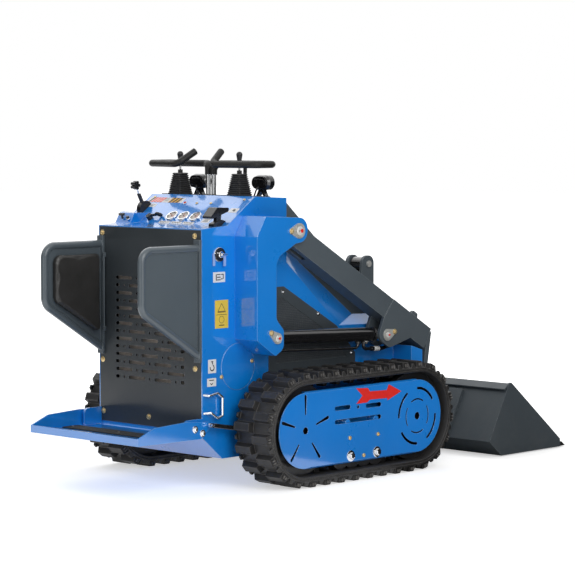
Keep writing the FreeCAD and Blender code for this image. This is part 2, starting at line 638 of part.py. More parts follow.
# ------------------------------------------------------------------------- arms
def arm_side():
    """Right arm: box beam between two gussets that reach down to the lift cylinder's rod."""
    beam = plate([along_arm(-ARM_TAIL, ARM_LOW, 38.0), along_arm(ARM_LENGTH, ARM_LOW),
                  along_arm(ARM_LENGTH, ARM_TOP_OFFSET), along_arm(-ARM_TAIL, ARM_TOP_OFFSET, 38.0)],
                 -ARM_OUTER_Y, -ARM_INNER_Y)
    lug_low = -LIFT_ROD_BELOW - LIFT_EYE_RADIUS - 9
    gusset = [along_arm(GUSSET_START + 17, ARM_TOP_OFFSET), along_arm(GUSSET_START, ARM_LOW),
              along_arm(LIFT_ROD_ALONG - 38, lug_low, 33.0), along_arm(LIFT_ROD_ALONG + 40, lug_low, 33.0),
              along_arm(LIFT_ROD_ALONG + 127, ARM_LOW), along_arm(ARM_LENGTH, ARM_LOW),
              along_arm(ARM_LENGTH, ARM_TOP_OFFSET)]
    pocket = [along_arm(place, ARM_LOW + up) for place, up in
              ((ARM_POCKET[0], -SEAM), (ARM_POCKET[1], -SEAM), (ARM_POCKET[1], ARM_POCKET_DEPTH),
               (ARM_POCKET[0], ARM_POCKET_DEPTH))]
    half = ARM_POCKET_WIDTH / 2
    low = ARM_TOP_OFFSET - SEAM
    high = ARM_TOP_OFFSET + 16
    clip = plate([along_arm(CLIP_ALONG - 22, low), along_arm(CLIP_ALONG - 14, high, 6.0),
                  along_arm(CLIP_ALONG + 14, high, 6.0), along_arm(CLIP_ALONG + 22, low)],
                 -ARM_OUTER_Y, -ARM_OUTER_Y + EAR_PLATE)
    pieces = [beam.cut(plate(pocket, -LIFT_CENTRE_Y - half, -LIFT_CENTRE_Y + half)), clip]
    for y_from in (-GUSSET_Y, -ARM_INNER_Y - GUSSET_PLATE):
        pieces.append(plate(gusset, y_from, y_from + GUSSET_PLATE))
    arm = fused(pieces)
    arm = arm.cut(rod_y(ARM_PIVOT, ARM_PIN_RADIUS + PIN_CLEARANCE, -ARM_OUTER_Y - 1, -ARM_INNER_Y + 1))
    return arm.cut(rod_y(LIFT_ROD_PIN, CYLINDER_PIN_RADIUS, -GUSSET_Y - 1, -ARM_INNER_Y + 1))


def loader_arms():
    """Both arms, the cross beam, drop plate and legs, and the tilt cylinder's ears: one weldment."""
    right = arm_side()
    pieces = [right, mirrored(right)]
    pieces.append(plate([along_arm(ARM_LENGTH - CROSS_BEAM, ARM_LOW), along_arm(ARM_LENGTH, ARM_LOW), ARM_TIP,
                         along_arm(ARM_LENGTH - CROSS_BEAM, ARM_TOP_OFFSET)], -ARM_INNER_Y, ARM_INNER_Y))
    pieces.append(plate([near(ARM_TIP, -40.0, -158.0), near(ARM_TIP, -20.0, -158.0),
                         near(ARM_TIP, 5.0, -11.0),
                         near(ARM_TIP, -24.0, -28.0)], -ARM_OUTER_Y, ARM_OUTER_Y))
    leg_half = LEG_WIDTH / 2
    for middle in (-LEG_CENTRE_Y, LEG_CENTRE_Y):
        leg = plate([near(ARM_TIP, -40.0, -138.0), near(ARM_TIP, -31.0, -218.0),
                     near(BUCKET_PIVOT, -38.0, -38.0, 38.0), near(BUCKET_PIVOT, 42.0, -30.0, 38.0),
                     near(BUCKET_PIVOT, 38.0, 40.0, 38.0),
                     near(ARM_TIP, 32.0, -188.0, 60.0), near(ARM_TIP, 5.0, -13.0)],
                    middle - leg_half, middle + leg_half)
        pieces.append(leg.cut(rod_y(BUCKET_PIVOT, BUCKET_PIN_RADIUS, middle - leg_half, middle + leg_half)))
    for y_from in (-TILT_EAR_HALF - EAR_PLATE, TILT_EAR_HALF):
        ear = plate([near(ARM_TIP, -143.0, 72.0), near(ARM_TIP, -103.0, -18.0), near(ARM_TIP, 5.0, -18.0),
                     near(ARM_TIP, 29.0, 42.0), near(TILT_BASE_PIN, 32.0, 33.0, 31.0),
                     near(TILT_BASE_PIN, -34.0, 33.0, 31.0), near(TILT_BASE_PIN, -42.0, -57.0, 60.0)],
                    y_from, y_from + EAR_PLATE)
        pieces.append(ear.cut(rod_y(TILT_BASE_PIN, CYLINDER_PIN_RADIUS, y_from, y_from + EAR_PLATE)))
    return fused(pieces)


def arm_pins():
    """Pins on the arms: rod stubs with flag plates, tilt base pin and bucket pivot pins."""
    stub = rod_y(LIFT_ROD_PIN, CYLINDER_PIN_RADIUS, -GUSSET_Y - PIN_PROUD, -GUSSET_Y + GUSSET_PLATE)
    flag = flag_plate(LIFT_ROD_PIN, CYLINDER_PIN_RADIUS + 10, near(LIFT_ROD_PIN, 38.0, 10.0), -GUSSET_Y)
    inner_stub = rod_y(LIFT_ROD_PIN, CYLINDER_PIN_RADIUS, -ARM_INNER_Y - GUSSET_PLATE, -ARM_INNER_Y)
    reach = LEG_WIDTH / 2 + EYE_SIDE_GAP + EAR_PLATE + PIN_PROUD
    pivot = rod_y(BUCKET_PIVOT, BUCKET_PIN_RADIUS, -LEG_CENTRE_Y - reach, -LEG_CENTRE_Y + reach)
    side = TILT_EAR_HALF + EAR_PLATE + PIN_PROUD
    tilt = rod_y(TILT_BASE_PIN, CYLINDER_PIN_RADIUS, -side, side)
    pins = [fused([stub, flag]), inner_stub, pivot]
    return Part.makeCompound(pins + [mirrored(pin) for pin in pins] + [tilt])


# -------------------------------------------------------------------- cylinders
def cylinder_pair(base, tip, sizes, oil_line=False):
    """Barrel and rod of a cylinder along X from its base pin at the origin, as long as base to tip."""
    barrel_radius, wall, rod_radius, retract, gap, eye_radius, eye_width, pin_radius = sizes
    length = math.hypot(tip[0] - base[0], tip[1] - base[1])
    bore = barrel_radius - wall
    start = eye_radius * 0.8
    end = length - eye_radius - retract - gap
    floor = start + BARREL_FLOOR
    rod_hole = rod_radius + PIN_CLEARANCE
    tube = [(0, start), (barrel_radius, start), (barrel_radius, end), (rod_hole, end),
            (rod_hole, end - GLAND_LENGTH),
            (bore, end - GLAND_LENGTH), (bore, floor), (0, floor)]
    eye = eye_ring(0.0, eye_radius, eye_width, pin_radius + PIN_CLEARANCE)
    barrel = turned(tube, V(0, 0, 0), V(1, 0, 0)).cut(cross_bar(0.0, eye_radius - 1, eye_width))
    pieces = [barrel, eye]
    if oil_line:
        pieces.append(oil_pipe(barrel_radius, start + OIL_LINE_INSET, end - 2 * OIL_LINE_INSET))
        pieces.append(rod_end_hose(barrel_radius, end - OIL_LINE_INSET))
    inside = floor + retract + PISTON_GAP
    piston = bore - PIN_CLEARANCE
    shaft = [(0, inside), (piston, inside), (piston, inside + PISTON_LENGTH),
             (rod_radius, inside + PISTON_LENGTH),
             (rod_radius, length - eye_radius * 0.6), (0, length - eye_radius * 0.6)]
    tip_eye = eye_ring(length, eye_radius, eye_width, pin_radius + 1.0)
    rod = turned(shaft, V(0, 0, 0), V(1, 0, 0)).cut(cross_bar(length, eye_radius - 1, eye_width))
    return fused(pieces), fused([rod, tip_eye])


def oil_pipe(barrel_radius, rear, front):
    """Steel oil line under a barrel, bent up into a port block near each end."""
    low = -barrel_radius - OIL_LINE_DROP
    pipe = bent_rod([V(rear, 0, SEAM - barrel_radius), V(rear, 0, low), V(front, 0, low),
                     V(front, 0, SEAM - barrel_radius)], OIL_LINE_BEND, OIL_LINE_RADIUS)
    pieces = [pipe]
    for place in (rear, front):
        pieces.append(Part.makeCylinder(OIL_LINE_RADIUS * 1.8, 6.0 + SEAM, V(place, 0, SEAM - barrel_radius),
                                        V(0, 0, -1)))
    return fused(pieces)


def rod_end_hose(barrel_radius, port):
    """Hose from the gland's port, level under the rod's eye, with its crimped fitting."""
    low = -barrel_radius - HOSE_DROP
    hose = bent_rod([V(port, 0, SEAM - barrel_radius), V(port, 0, low), V(port + HOSE_LEVEL, 0, low),
                     V(port + HOSE_REACH, 0, low + 18)], OIL_LINE_BEND, HOSE_RADIUS)
    fitting = Part.makeCylinder(HOSE_RADIUS + 2.0, HOSE_LEVEL * 0.5, V(port + HOSE_LEVEL * 0.4, 0, low),
                                V(1, 0, 0))
    boss = Part.makeCylinder(HOSE_RADIUS + 4.0, 6.0 + SEAM, V(port, 0, SEAM - barrel_radius), V(0, 0, -1))
    return fused([hose, fitting, boss])


def placed(shapes, base, tip, y):
    """Cylinder pieces turned from X to the line between two pins."""
    angle = -math.degrees(math.atan2(tip[1] - base[1], tip[0] - base[0]))
    result = []
    for shape in shapes:
        shape.rotate(V(0, 0, 0), V(0, 1, 0), angle)
        shape.translate(V(ahead(base[0]), y, base[1]))
        result.append(shape)
    return result


def cross_bar(place, radius, width):
    """Round bar along Y at a place on X."""
    return Part.makeCylinder(radius, width, V(place, -width / 2, 0), V(0, 1, 0))


def eye_ring(place, radius, width, bore):
    """Ring about Y at a place on X."""
    return cross_bar(place, radius, width).cut(cross_bar(place, bore, width))


def lift_cylinder():
    """Barrel and rod of the right lift cylinder."""
    sizes = (LIFT_BARREL_RADIUS, CYLINDER_WALL, LIFT_ROD_RADIUS, 0.0, LIFT_EYE_TO_GLAND, LIFT_EYE_RADIUS,
             LIFT_EYE_WIDTH, CYLINDER_PIN_RADIUS)
    pair = cylinder_pair(LIFT_BASE_PIN, LIFT_ROD_PIN, sizes, oil_line=True)
    return placed(pair, LIFT_BASE_PIN, LIFT_ROD_PIN, -LIFT_CENTRE_Y)


def tilt_cylinder():
    """Barrel and rod of the bucket tilt cylinder."""
    sizes = (TILT_BARREL_RADIUS, CYLINDER_WALL, TILT_ROD_RADIUS, TILT_RETRACT, TILT_EYE_TO_GLAND,
             TILT_EYE_RADIUS,
             TILT_EYE_WIDTH, CYLINDER_PIN_RADIUS)
    return placed(cylinder_pair(TILT_BASE_PIN, TILT_ROD_PIN, sizes), TILT_BASE_PIN, TILT_ROD_PIN, 0.0)


def platform_strut():
    """Barrel and rod of the right gas strut."""
    sizes = (STRUT_BARREL_RADIUS, STRUT_WALL, STRUT_ROD_RADIUS, 0.0, STRUT_EYE_TO_GLAND, STRUT_EYE_RADIUS,
             STRUT_EYE_WIDTH, STRUT_PIN_RADIUS)
    pair = cylinder_pair(STRUT_BASE_PIN, STRUT_ROD_PIN, sizes)
    return placed(pair, STRUT_BASE_PIN, STRUT_ROD_PIN, -STRUT_CENTRE_Y)


# ----------------------------------------------------------------------- bucket
BACK_FOOT = near(BUCKET_PIVOT, 95.0, -64.0)
BACK_TOP = near(BUCKET_PIVOT, 217.0, 157.0)
FLOOR_REAR = (BUCKET_PIVOT[0] + 171, BUCKET_FLOOR)
FLOOR_FRONT = (BUCKET_PIVOT[0] + BUCKET_REACH, BUCKET_FLOOR)


def bucket():
    """Folded back and floor sheet between two side plates, with a turned-back upper lip."""
    back = folded_sheet([BACK_TOP, BACK_FOOT, FLOOR_REAR, FLOOR_FRONT], BUCKET_SHEET, -BUCKET_HALF_WIDTH,
                        BUCKET_HALF_WIDTH)
    lip = plate([near(BACK_TOP, -29.0, -21.0), near(BACK_TOP, -26.0, -26.0), near(BACK_TOP, 2.0, -7.0),
                 BACK_TOP],
                -BUCKET_HALF_WIDTH, BUCKET_HALF_WIDTH)
    side_outline = [BACK_FOOT, FLOOR_REAR, FLOOR_FRONT, near(FLOOR_FRONT, -2.0, 32.0, 6.0),
                    near(BACK_TOP, 13.0, 3.0, 10.0), BACK_TOP]
    pieces = [back, lip]
    for y_from in (-BUCKET_HALF_WIDTH - SEAM, BUCKET_HALF_WIDTH + SEAM - BUCKET_SIDE):
        pieces.append(plate(side_outline, y_from, y_from + BUCKET_SIDE))
    return fused(pieces)


def cutting_edge():
    """Bevelled bar along the bucket's front."""
    low = BUCKET_FLOOR + BUCKET_SHEET
    top = low + EDGE_THICKNESS
    front = FLOOR_FRONT[0]
    side = BUCKET_HALF_WIDTH + SEAM - BUCKET_SIDE
    return plate([(front - EDGE_LAP, low), (front, low), FLOOR_FRONT, (front + EDGE_REACH, BUCKET_FLOOR),
                  (front + EDGE_REACH - 25, top), (front - EDGE_LAP, top)], -side, side)


def attach_plate():
    """Carrier plate behind the bucket with its pivot ears, tilt ears and tilt pin stubs."""
    slope = (BACK_TOP[0] - BACK_FOOT[0]) / (BACK_TOP[1] - BACK_FOOT[1])
    rear = [near(BACK_FOOT, slope * up, up) for up in (10.0, 180.0)]
    pieces = [folded_sheet(rear, CARRIER_PLATE, -CARRIER_HALF_WIDTH, CARRIER_HALF_WIDTH)]
    gap = LEG_WIDTH / 2 + EYE_SIDE_GAP
    bore = rod_y(BUCKET_PIVOT, BUCKET_PIN_RADIUS + PIN_CLEARANCE, -CARRIER_HALF_WIDTH, CARRIER_HALF_WIDTH)
    for middle in (-LEG_CENTRE_Y, LEG_CENTRE_Y):
        for y_from in (middle - gap - EAR_PLATE, middle + gap):
            ear = plate([near(BUCKET_PIVOT, -34.0, -34.0, 30.0), near(BUCKET_PIVOT, 30.0, -38.0, 20.0),
                         near(BACK_FOOT, 1.0, 26.0), near(BACK_FOOT, 39.0, 94.0),
                         near(BUCKET_PIVOT, 30.0, 40.0, 40.0), near(BUCKET_PIVOT, -34.0, 38.0, 30.0)],
                        y_from, y_from + EAR_PLATE)
            pieces.append(ear.cut(bore))
    for y_from in (-TILT_EAR_HALF - EAR_PLATE, TILT_EAR_HALF):
        pieces.append(plate([near(TILT_ROD_PIN, -30.0, -34.0, 26.0), near(BACK_FOOT, 7.0, 44.0),
                             near(BACK_FOOT, 19.0, 60.0), near(BACK_FOOT, 82.0, 172.0),
                             near(TILT_ROD_PIN, 50.0, 35.0, 30.0), near(TILT_ROD_PIN, -30.0, 35.0, 28.0)],
                            y_from, y_from + EAR_PLATE))
    outer = TILT_EAR_HALF + EAR_PLATE
    pieces.append(rod_y(TILT_ROD_PIN, CYLINDER_PIN_RADIUS, -outer - PIN_PROUD, -outer))
    pieces.append(rod_y(TILT_ROD_PIN, CYLINDER_PIN_RADIUS, outer, outer + PIN_PROUD))
    return fused(pieces)


# --------------------------------------------------------------------- platform
def standing_platform():
    """Folding deck with a rear lip, side gussets and the strut's ears in one."""
    top = DECK_HEIGHT + DECK_PLATE
    wide = box((DECK_REAR, PLATFORM_PIVOT[0] - 51), (-DECK_HALF_WIDTH, DECK_HALF_WIDTH), (DECK_HEIGHT, top))
    inner_half = BODY_HALF_WIDTH - BRACKET_PLATE - 6
    narrow = box((PLATFORM_PIVOT[0] - 51 - SEAM, -20.0), (-inner_half, inner_half), (DECK_HEIGHT, top))
    lip = box((DECK_REAR, DECK_REAR + DECK_PLATE), (-DECK_HALF_WIDTH, DECK_HALF_WIDTH),
              (DECK_HEIGHT, top + 21))
    gusset = plate([(DECK_REAR, DECK_HEIGHT), near(PLATFORM_PIVOT, 30.0, -37.0, 6.0),
                    near(PLATFORM_PIVOT, 73.0, -1.0, 8.0), near(PLATFORM_PIVOT, 73.0, 21.0, 8.0),
                    near(PLATFORM_PIVOT, -42.0, 30.0, 10.0), (DECK_REAR + 80, top + 52, 12.0),
                    (DECK_REAR, top + 21)],
                   -DECK_HALF_WIDTH, -DECK_HALF_WIDTH + DECK_PLATE)
    gusset = gusset.cut(rod_y(PLATFORM_PIVOT, PLATFORM_PIN_RADIUS + PIN_CLEARANCE, -DECK_HALF_WIDTH,
                              -BODY_HALF_WIDTH))
    return fused([wide, narrow, lip, gusset, mirrored(gusset)])


def platform_grip_strips():
    """Two dark anti-slip strips across the deck."""
    top = DECK_HEIGHT + DECK_PLATE
    half = DECK_HALF_WIDTH - 20
    strips = []
    for index in range(2):
        rear = DECK_REAR + 23 + index * STRIP_PITCH
        strips.append(box((rear, rear + STRIP_LENGTH), (-half, half), (top, top + STRIP_HEIGHT)))
    return Part.makeCompound(strips)


# --------------------------------------------------------------- thigh supports
def thigh_frame():
    """Right thigh support: bent tube, sheet and the flat bar on the rear panel."""
    outline = [(0.0, WING_TOP), (-WING_REACH, WING_TOP, WING_BEND), (-WING_REACH, WING_LOW_REAR, WING_BEND),
               (0.0, WING_BOTTOM)]
    tube = bent_rod([V(ahead(corner[0]), -WING_Y, corner[1]) for corner in outline], WING_BEND,
                    WING_TUBE_RADIUS)
    sheet = plate(outline, -WING_Y - WING_SHEET / 2, -WING_Y + WING_SHEET / 2)
    bar = box((-WING_BAR_PLATE, 0.0), (-WING_Y - WING_BAR / 2, -WING_Y + WING_BAR / 2),
              (WING_BOTTOM - 20, WING_TOP + 30))
    inside_body = box((0.0, 60.0), (-WING_Y - WING_BAR, -WING_Y + WING_BAR),
                      (WING_BOTTOM - 40, WING_TOP + 40))
    return fused([tube, sheet, bar]).cut(inside_body)


def thigh_pad():
    """Right soft pad on the inner face of the support."""
    rear = -WING_REACH + PAD_MARGIN
    front = -WING_BAR_PLATE - 12
    outline = [(front, WING_TOP - PAD_MARGIN, 20.0), (rear, WING_TOP - PAD_MARGIN, 34.0),
               (rear, WING_LOW_REAR + 8, 34.0), (front, WING_BOTTOM + 44, 20.0)]
    face = -WING_Y + WING_SHEET / 2
    return plate(outline, face, face + PAD_THICKNESS)


# ---------------------------------------------------------------------- console
def under_console():
    """Everything below the console's outer face."""
    corners = CONSOLE_LINE + [(0.0, 800.0), (DECK_TOP_AHEAD, 800.0)]
    return plate(corners, -BODY_HALF_WIDTH, BODY_HALF_WIDTH)


def handlebars():
    """Two fixed handles on a pair of posts in the middle of the deck, the right one braced."""
    grip_tip = V(ahead(299.0), -68.0, HANDLE_LEVEL + GRIP_RISE)
    points = [V(ahead(POST_AHEAD), -POST_Y, POST_TOP - SEAM)]
    points += [V(ahead(place), -y, HANDLE_LEVEL) for place, y in
               ((POST_AHEAD, POST_Y), (HANDLE_FAR, 75.0), (HANDLE_FAR, HANDLE_OUT), (HANDLE_NEAR, HANDLE_OUT),
                (228.0, 90.0))]
    loop = bent_rod(points + [grip_tip], HANDLE_BEND, HANDLE_RADIUS)
    post = rod_between(V(ahead(POST_AHEAD), -POST_Y, CONSOLE_TOP - 14),
                       V(ahead(POST_AHEAD), -POST_Y, POST_TOP),
                       POST_RADIUS)
    right = fused([loop, post]).cut(under_console())
    brace = rod_between(V(ahead(HANDLE_FAR + 4), -118.0, CONSOLE_TOP - 14),
                        V(ahead(HANDLE_FAR - 4), -131.0, HANDLE_LEVEL), 7.0)
    return Part.makeCompound([fused([right, brace.cut(under_console())]), mirrored(right)])


def rounded_square(side, height, radius):
    """Closed wire of a rounded square about the right lever, at a height."""
    half = side / 2
    wire = rounded_wire([(-half, -half, radius), (half, -half, radius), (half, half, radius),
                         (-half, half, radius)])
    wire.rotate(V(0, 0, 0), V(1, 0, 0), 90.0)
    wire.translate(V(ahead(LEVER_AHEAD), -LEVER_Y, height))
    return wire


def joysticks():
    """Ribbed rubber bellows with a collar, lever and rounded knob, left and right of the posts."""
    floor = CONSOLE_TOP - 14
    top = CONSOLE_TOP + BELLOWS_HEIGHT
    step = (top - floor) / BELLOWS_RIBS
    sections = []
    for index in range(BELLOWS_RIBS):
        side = BELLOWS_BASE + (BELLOWS_TOP - BELLOWS_BASE) * index / (BELLOWS_RIBS - 1)
        low = floor + step * index
        for share, narrow in ((0.0, BELLOWS_GROOVE), (0.25, 0.0), (0.65, 0.0)):
            sections.append(rounded_square(side - 2 * narrow, low + step * share, 6.0))
    sections.append(rounded_square(BELLOWS_TOP - 2 * BELLOWS_GROOVE, top, 6.0))
    bellows = Part.makeLoft(sections, True, True).cut(under_console())
    knob_middle = KNOB_TOP - KNOB_RADIUS
    reach = knob_middle - top
    profile = [(0, 0), (9.0, 0), (9.0, 12.0), (3.5, 12.0), (3.5, reach - 24), (8.0, reach - 22),
               (KNOB_RADIUS, reach), (0, reach)]
    lever = turned(profile, V(ahead(LEVER_AHEAD), -LEVER_Y, top), V(0, 0, 1))
    dome = Part.makeSphere(KNOB_RADIUS, V(ahead(LEVER_AHEAD), -LEVER_Y, knob_middle))
    return both_sides(fused([bellows, lever, dome]))


def slope_place(distance, y, lift):
    """Point on the console's slope, lifted along its normal."""
    run = (CONSOLE_TOP_AHEAD - CONSOLE_SHELF, CONSOLE_RISE)
    length = math.hypot(run[0], run[1])
    height = SHELF_FRONT + (distance - CONSOLE_SHELF) * run[1] / run[0]
    return V(ahead(distance) - lift * run[1] / length, y, height + lift * run[0] / length)


def gauges():
    """Three round gauges in a row on the slope, each with a raised bezel."""
    profile = [(0, 0), (GAUGE_RADIUS, 0), (GAUGE_RADIUS, GAUGE_HEIGHT - 2),
               (GAUGE_RADIUS - 1.5, GAUGE_HEIGHT),
               (GAUGE_RADIUS - BEZEL, GAUGE_HEIGHT), (GAUGE_RADIUS - BEZEL - 1, GAUGE_HEIGHT - 2.5),
               (0, GAUGE_HEIGHT - 2.5)]
    dials = []
    for index in (-1, 0, 1):
        side = GAUGE_SHIFT + index * GAUGE_PITCH
        base = slope_place(GAUGE_AHEAD, side, 0.0)
        way = slope_place(GAUGE_AHEAD, side, 1.0).sub(base)
        dials.append(turned(profile, base, way))
    return Part.makeCompound(dials)


def throttle_lever():
    """Half-round throttle quadrant with its sleeved lever and five-lobed knob."""
    centre = V(ahead(193.0), 232.0, SHELF_FRONT + 46)
    disc = Part.makeCylinder(31.0, 20.0, centre.add(V(0, -10, 0)), V(0, 1, 0))
    knob_place = centre.add(V(-46.0, 0, 89.0))
    run = V(knob_place).sub(centre)
    sleeve = rod_between(centre, centre.add(V(run).multiply(0.66)), 7.5)
    stem = rod_between(centre, knob_place, 4.0)
    knob = [Part.makeCylinder(9.0, 20.0, knob_place.add(V(0, -10, 0)), V(0, 1, 0))]
    for index in range(5):
        angle = 2 * math.pi * index / 5
        lobe = knob_place.add(V(11.0 * math.cos(angle), -10.0, 11.0 * math.sin(angle)))
        knob.append(Part.makeCylinder(6.0, 20.0, lobe, V(0, 1, 0)))
    return fused([disc, sleeve, stem] + knob).cut(under_console()).cut(step_box())


def choke_lever():
    """Small loop-handled lever beside the switch box."""
    plane = slope_place(146.0, 150.0, 18.0)
    boss = rod_between(slope_place(146.0, 150.0, -SEAM), plane, 11.0)
    arm = rod_between(plane.add(V(0, 8, -4)), plane.add(V(8, -36, 2)), 5.0)
    loop = Part.makeTorus(11.0, 4.5, plane.add(V(10, -46, 3)), V(0.4, 0.0, 0.9))
    return fused([boss, arm, loop]).cut(under_console())


def auxiliary_lever():
    """Black foot-shaped auxiliary lever on its pivot bracket, at the shelf's right end."""
    shelf = SHELF_REAR
    bracket = plate([(88.0, shelf - 4), (88.0, shelf + 16, 6.0), (128.0, shelf + 30, 8.0),
                     (150.0, shelf + 24, 8.0),
                     (162.0, shelf - 4)], -243.0, -217.0)
    neck = plate([(106.0, shelf + 18), (128.0, shelf + 24), (134.0, shelf + 58), (112.0, shelf + 56)],
                 -238.0, -222.0)
    paddle = plate([(62.0, shelf + 38, 5.0), (74.0, shelf + 34, 5.0), (152.0, shelf + 58, 6.0),
                    (160.0, shelf + 72, 6.0), (98.0, shelf + 74, 8.0)], -252.0, -208.0)
    bolt = rod_y((142.0, shelf + 10), 6.0, -248.0, -243.0)
    return fused([bracket, neck, paddle, bolt]).cut(under_console())


def work_lights():
    """Two oval lamps on splayed brackets, facing forward."""
    sections = []
    for place, share in ((-20.0, 0.45), (-12.0, 0.8), (-2.0, 1.0), (20.0, 1.0)):
        half = LIGHT_HALF - LIGHT_RADIUS * (1 - share)
        radius = LIGHT_RADIUS * share
        outline = slot_corners(-half, half, 0.0, radius)
        wire = rounded_wire(outline)
        wire.rotate(V(0, 0, 0), V(0, 0, 1), 90.0)
        wire.translate(V(ahead(LIGHT_AHEAD + place), -LIGHT_Y, LIGHT_HEIGHT))
        sections.append(wire)
    lamp = Part.makeLoft(sections, True, True)
    recess = [(corner[0] - LIGHT_Y, corner[1] + LIGHT_HEIGHT, corner[2])
              for corner in slot_corners(-LIGHT_HALF + 4, LIGHT_HALF - 4, 0.0, LIGHT_RADIUS - 4)]
    lamp = lamp.cut(cross_plate(recess, LIGHT_AHEAD + 17, LIGHT_AHEAD + 21))
    low = LIGHT_HEIGHT - LIGHT_RADIUS
    foot = CONSOLE_TOP - 14
    splay = [(-30.0, foot), (-22.0, foot), (-2.0, low - 6), (2.0, low - 6), (22.0, foot), (30.0, foot),
             (10.0, low + 4), (-10.0, low + 4)]
    strap = cross_plate([(out - LIGHT_Y, height) for out, height in splay], LIGHT_AHEAD - 9, LIGHT_AHEAD + 9)
    return both_sides(fused([lamp, strap.cut(under_console())]))


def grab_handles():
    """Bent bar on each rear corner of the body."""
    out = -BODY_HALF_WIDTH - GRAB_OUT
    points = [V(ahead(8.0), -BODY_HALF_WIDTH + 2, 345.0), V(ahead(20.0), out, 343.0),
              V(ahead(64.0), out, 350.0),
              V(ahead(88.0), out, 333.0), V(ahead(88.0), out, 267.0), V(ahead(64.0), out, 260.0),
              V(ahead(30.0), out, 281.0), V(ahead(8.0), -BODY_HALF_WIDTH + 2, 279.0)]
    bar = bent_rod(points, 5.0, GRAB_RADIUS)
    return both_sides(bar.cut(box((-20.0, 120.0), (-BODY_HALF_WIDTH, 0.0), (200.0, 400.0))))


# ----------------------------------------------------------------------- tracks
def stadium(radius, y_from, y_to):
    """Solid round both track wheels, of a radius about each axle."""
    return plate(slot_corners(SPROCKET_AHEAD - radius, IDLER_AHEAD + radius, AXLE_Z, radius), y_from, y_to)


def loop_frame(distance, radius):
    """Point (ahead, height) and outward direction at a distance round a belt of this radius."""
    half_turn = math.pi * radius
    length = 2 * WHEEL_BASE + 2 * half_turn
    distance = distance % length
    if distance < WHEEL_BASE:
        return (SPROCKET_AHEAD + distance, AXLE_Z + radius), (0.0, 1.0)
    distance -= WHEEL_BASE
    if distance < half_turn:
        angle = math.pi / 2 - distance / radius
        way = (math.cos(angle), math.sin(angle))
        return (IDLER_AHEAD + radius * way[0], AXLE_Z + radius * way[1]), way
    distance -= half_turn
    if distance < WHEEL_BASE:
        return (IDLER_AHEAD - distance, AXLE_Z - radius), (0.0, -1.0)
    distance -= WHEEL_BASE
    angle = -math.pi / 2 - distance / radius
    way = (math.cos(angle), math.sin(angle))
    return (SPROCKET_AHEAD + radius * way[0], AXLE_Z + radius * way[1]), way


def teeth(radius, height, base, tip, phase, y_from, y_to):
    """Tapered teeth spaced evenly round a belt, outward for a positive height."""
    length = 2 * WHEEL_BASE + 2 * math.pi * radius
    row = []
    root = -LUG_ROOT if height > 0 else LUG_ROOT
    for index in range(LUG_COUNT):
        place, way = loop_frame((index + phase) * length / LUG_COUNT, radius)
        corners = []
        for out, half in ((root, base / 2), (0.0, base / 2), (height, tip / 2), (height, -tip / 2),
                          (0.0, -base / 2), (root, -base / 2)):
            corners.append(near(place, way[0] * out + way[1] * half, way[1] * out - way[0] * half))
        row.append(plate(corners, y_from, y_to))
    return row


def track_belt():
    """Right rubber track: one fixed loop with two staggered rows of lugs and inner guide teeth."""
    outer_y = -TRACK_CENTRE_Y - TRACK_WIDTH / 2
    inner_y = -TRACK_CENTRE_Y + TRACK_WIDTH / 2
    groove = LUG_GROOVE / 2
    loop = stadium(BELT_OUTER, outer_y, inner_y).cut(stadium(BELT_INNER, outer_y, inner_y))
    rows = teeth(BELT_OUTER, LUG_HEIGHT, LUG_BASE, LUG_TIP, 0.0, outer_y, -TRACK_CENTRE_Y - groove)
    rows += teeth(BELT_OUTER, LUG_HEIGHT, LUG_BASE, LUG_TIP, 0.5, -TRACK_CENTRE_Y + groove, inner_y)
    rows += teeth(BELT_INNER, -GUIDE_HEIGHT, GUIDE_BASE, GUIDE_TIP, 0.25, -TRACK_CENTRE_Y - GUIDE_WIDTH / 2,
                  -TRACK_CENTRE_Y + GUIDE_WIDTH / 2)
    return fused([loop] + rows)


def track_wheels(ahead_of_panel):
    """Wheel of each track: two rims beside the guide teeth, lightening holes and a hub to the body."""
    half = GUIDE_WIDTH / 2 + GUIDE_GAP
    axle = (ahead_of_panel, AXLE_Z)
    pieces = [rod_y(axle, WHEEL_CORE, -TRACK_CENTRE_Y - half - RIM_WIDTH, -TRACK_CENTRE_Y + half + RIM_WIDTH)]
    for low in (-half - RIM_WIDTH, half):
        pieces.append(rod_y(axle, BELT_INNER - WHEEL_GAP, -TRACK_CENTRE_Y + low,
                            -TRACK_CENTRE_Y + low + RIM_WIDTH))
    wheel = fused(pieces)
    ring = (WHEEL_CORE + WHEEL_HUB) / 2
    holes = []
    for index in range(WHEEL_HOLES):
        angle = 2 * math.pi * index / WHEEL_HOLES
        holes.append(rod_y(near(axle, ring * math.cos(angle), ring * math.sin(angle)), WHEEL_HOLE_RADIUS,
                           -TRACK_CENTRE_Y - half - RIM_WIDTH, -TRACK_CENTRE_Y + half + RIM_WIDTH))
    hub = rod_y(axle, WHEEL_HUB, -TRACK_CENTRE_Y, -BODY_HALF_WIDTH)
    return both_sides(fused([wheel.cut(holes), hub]))


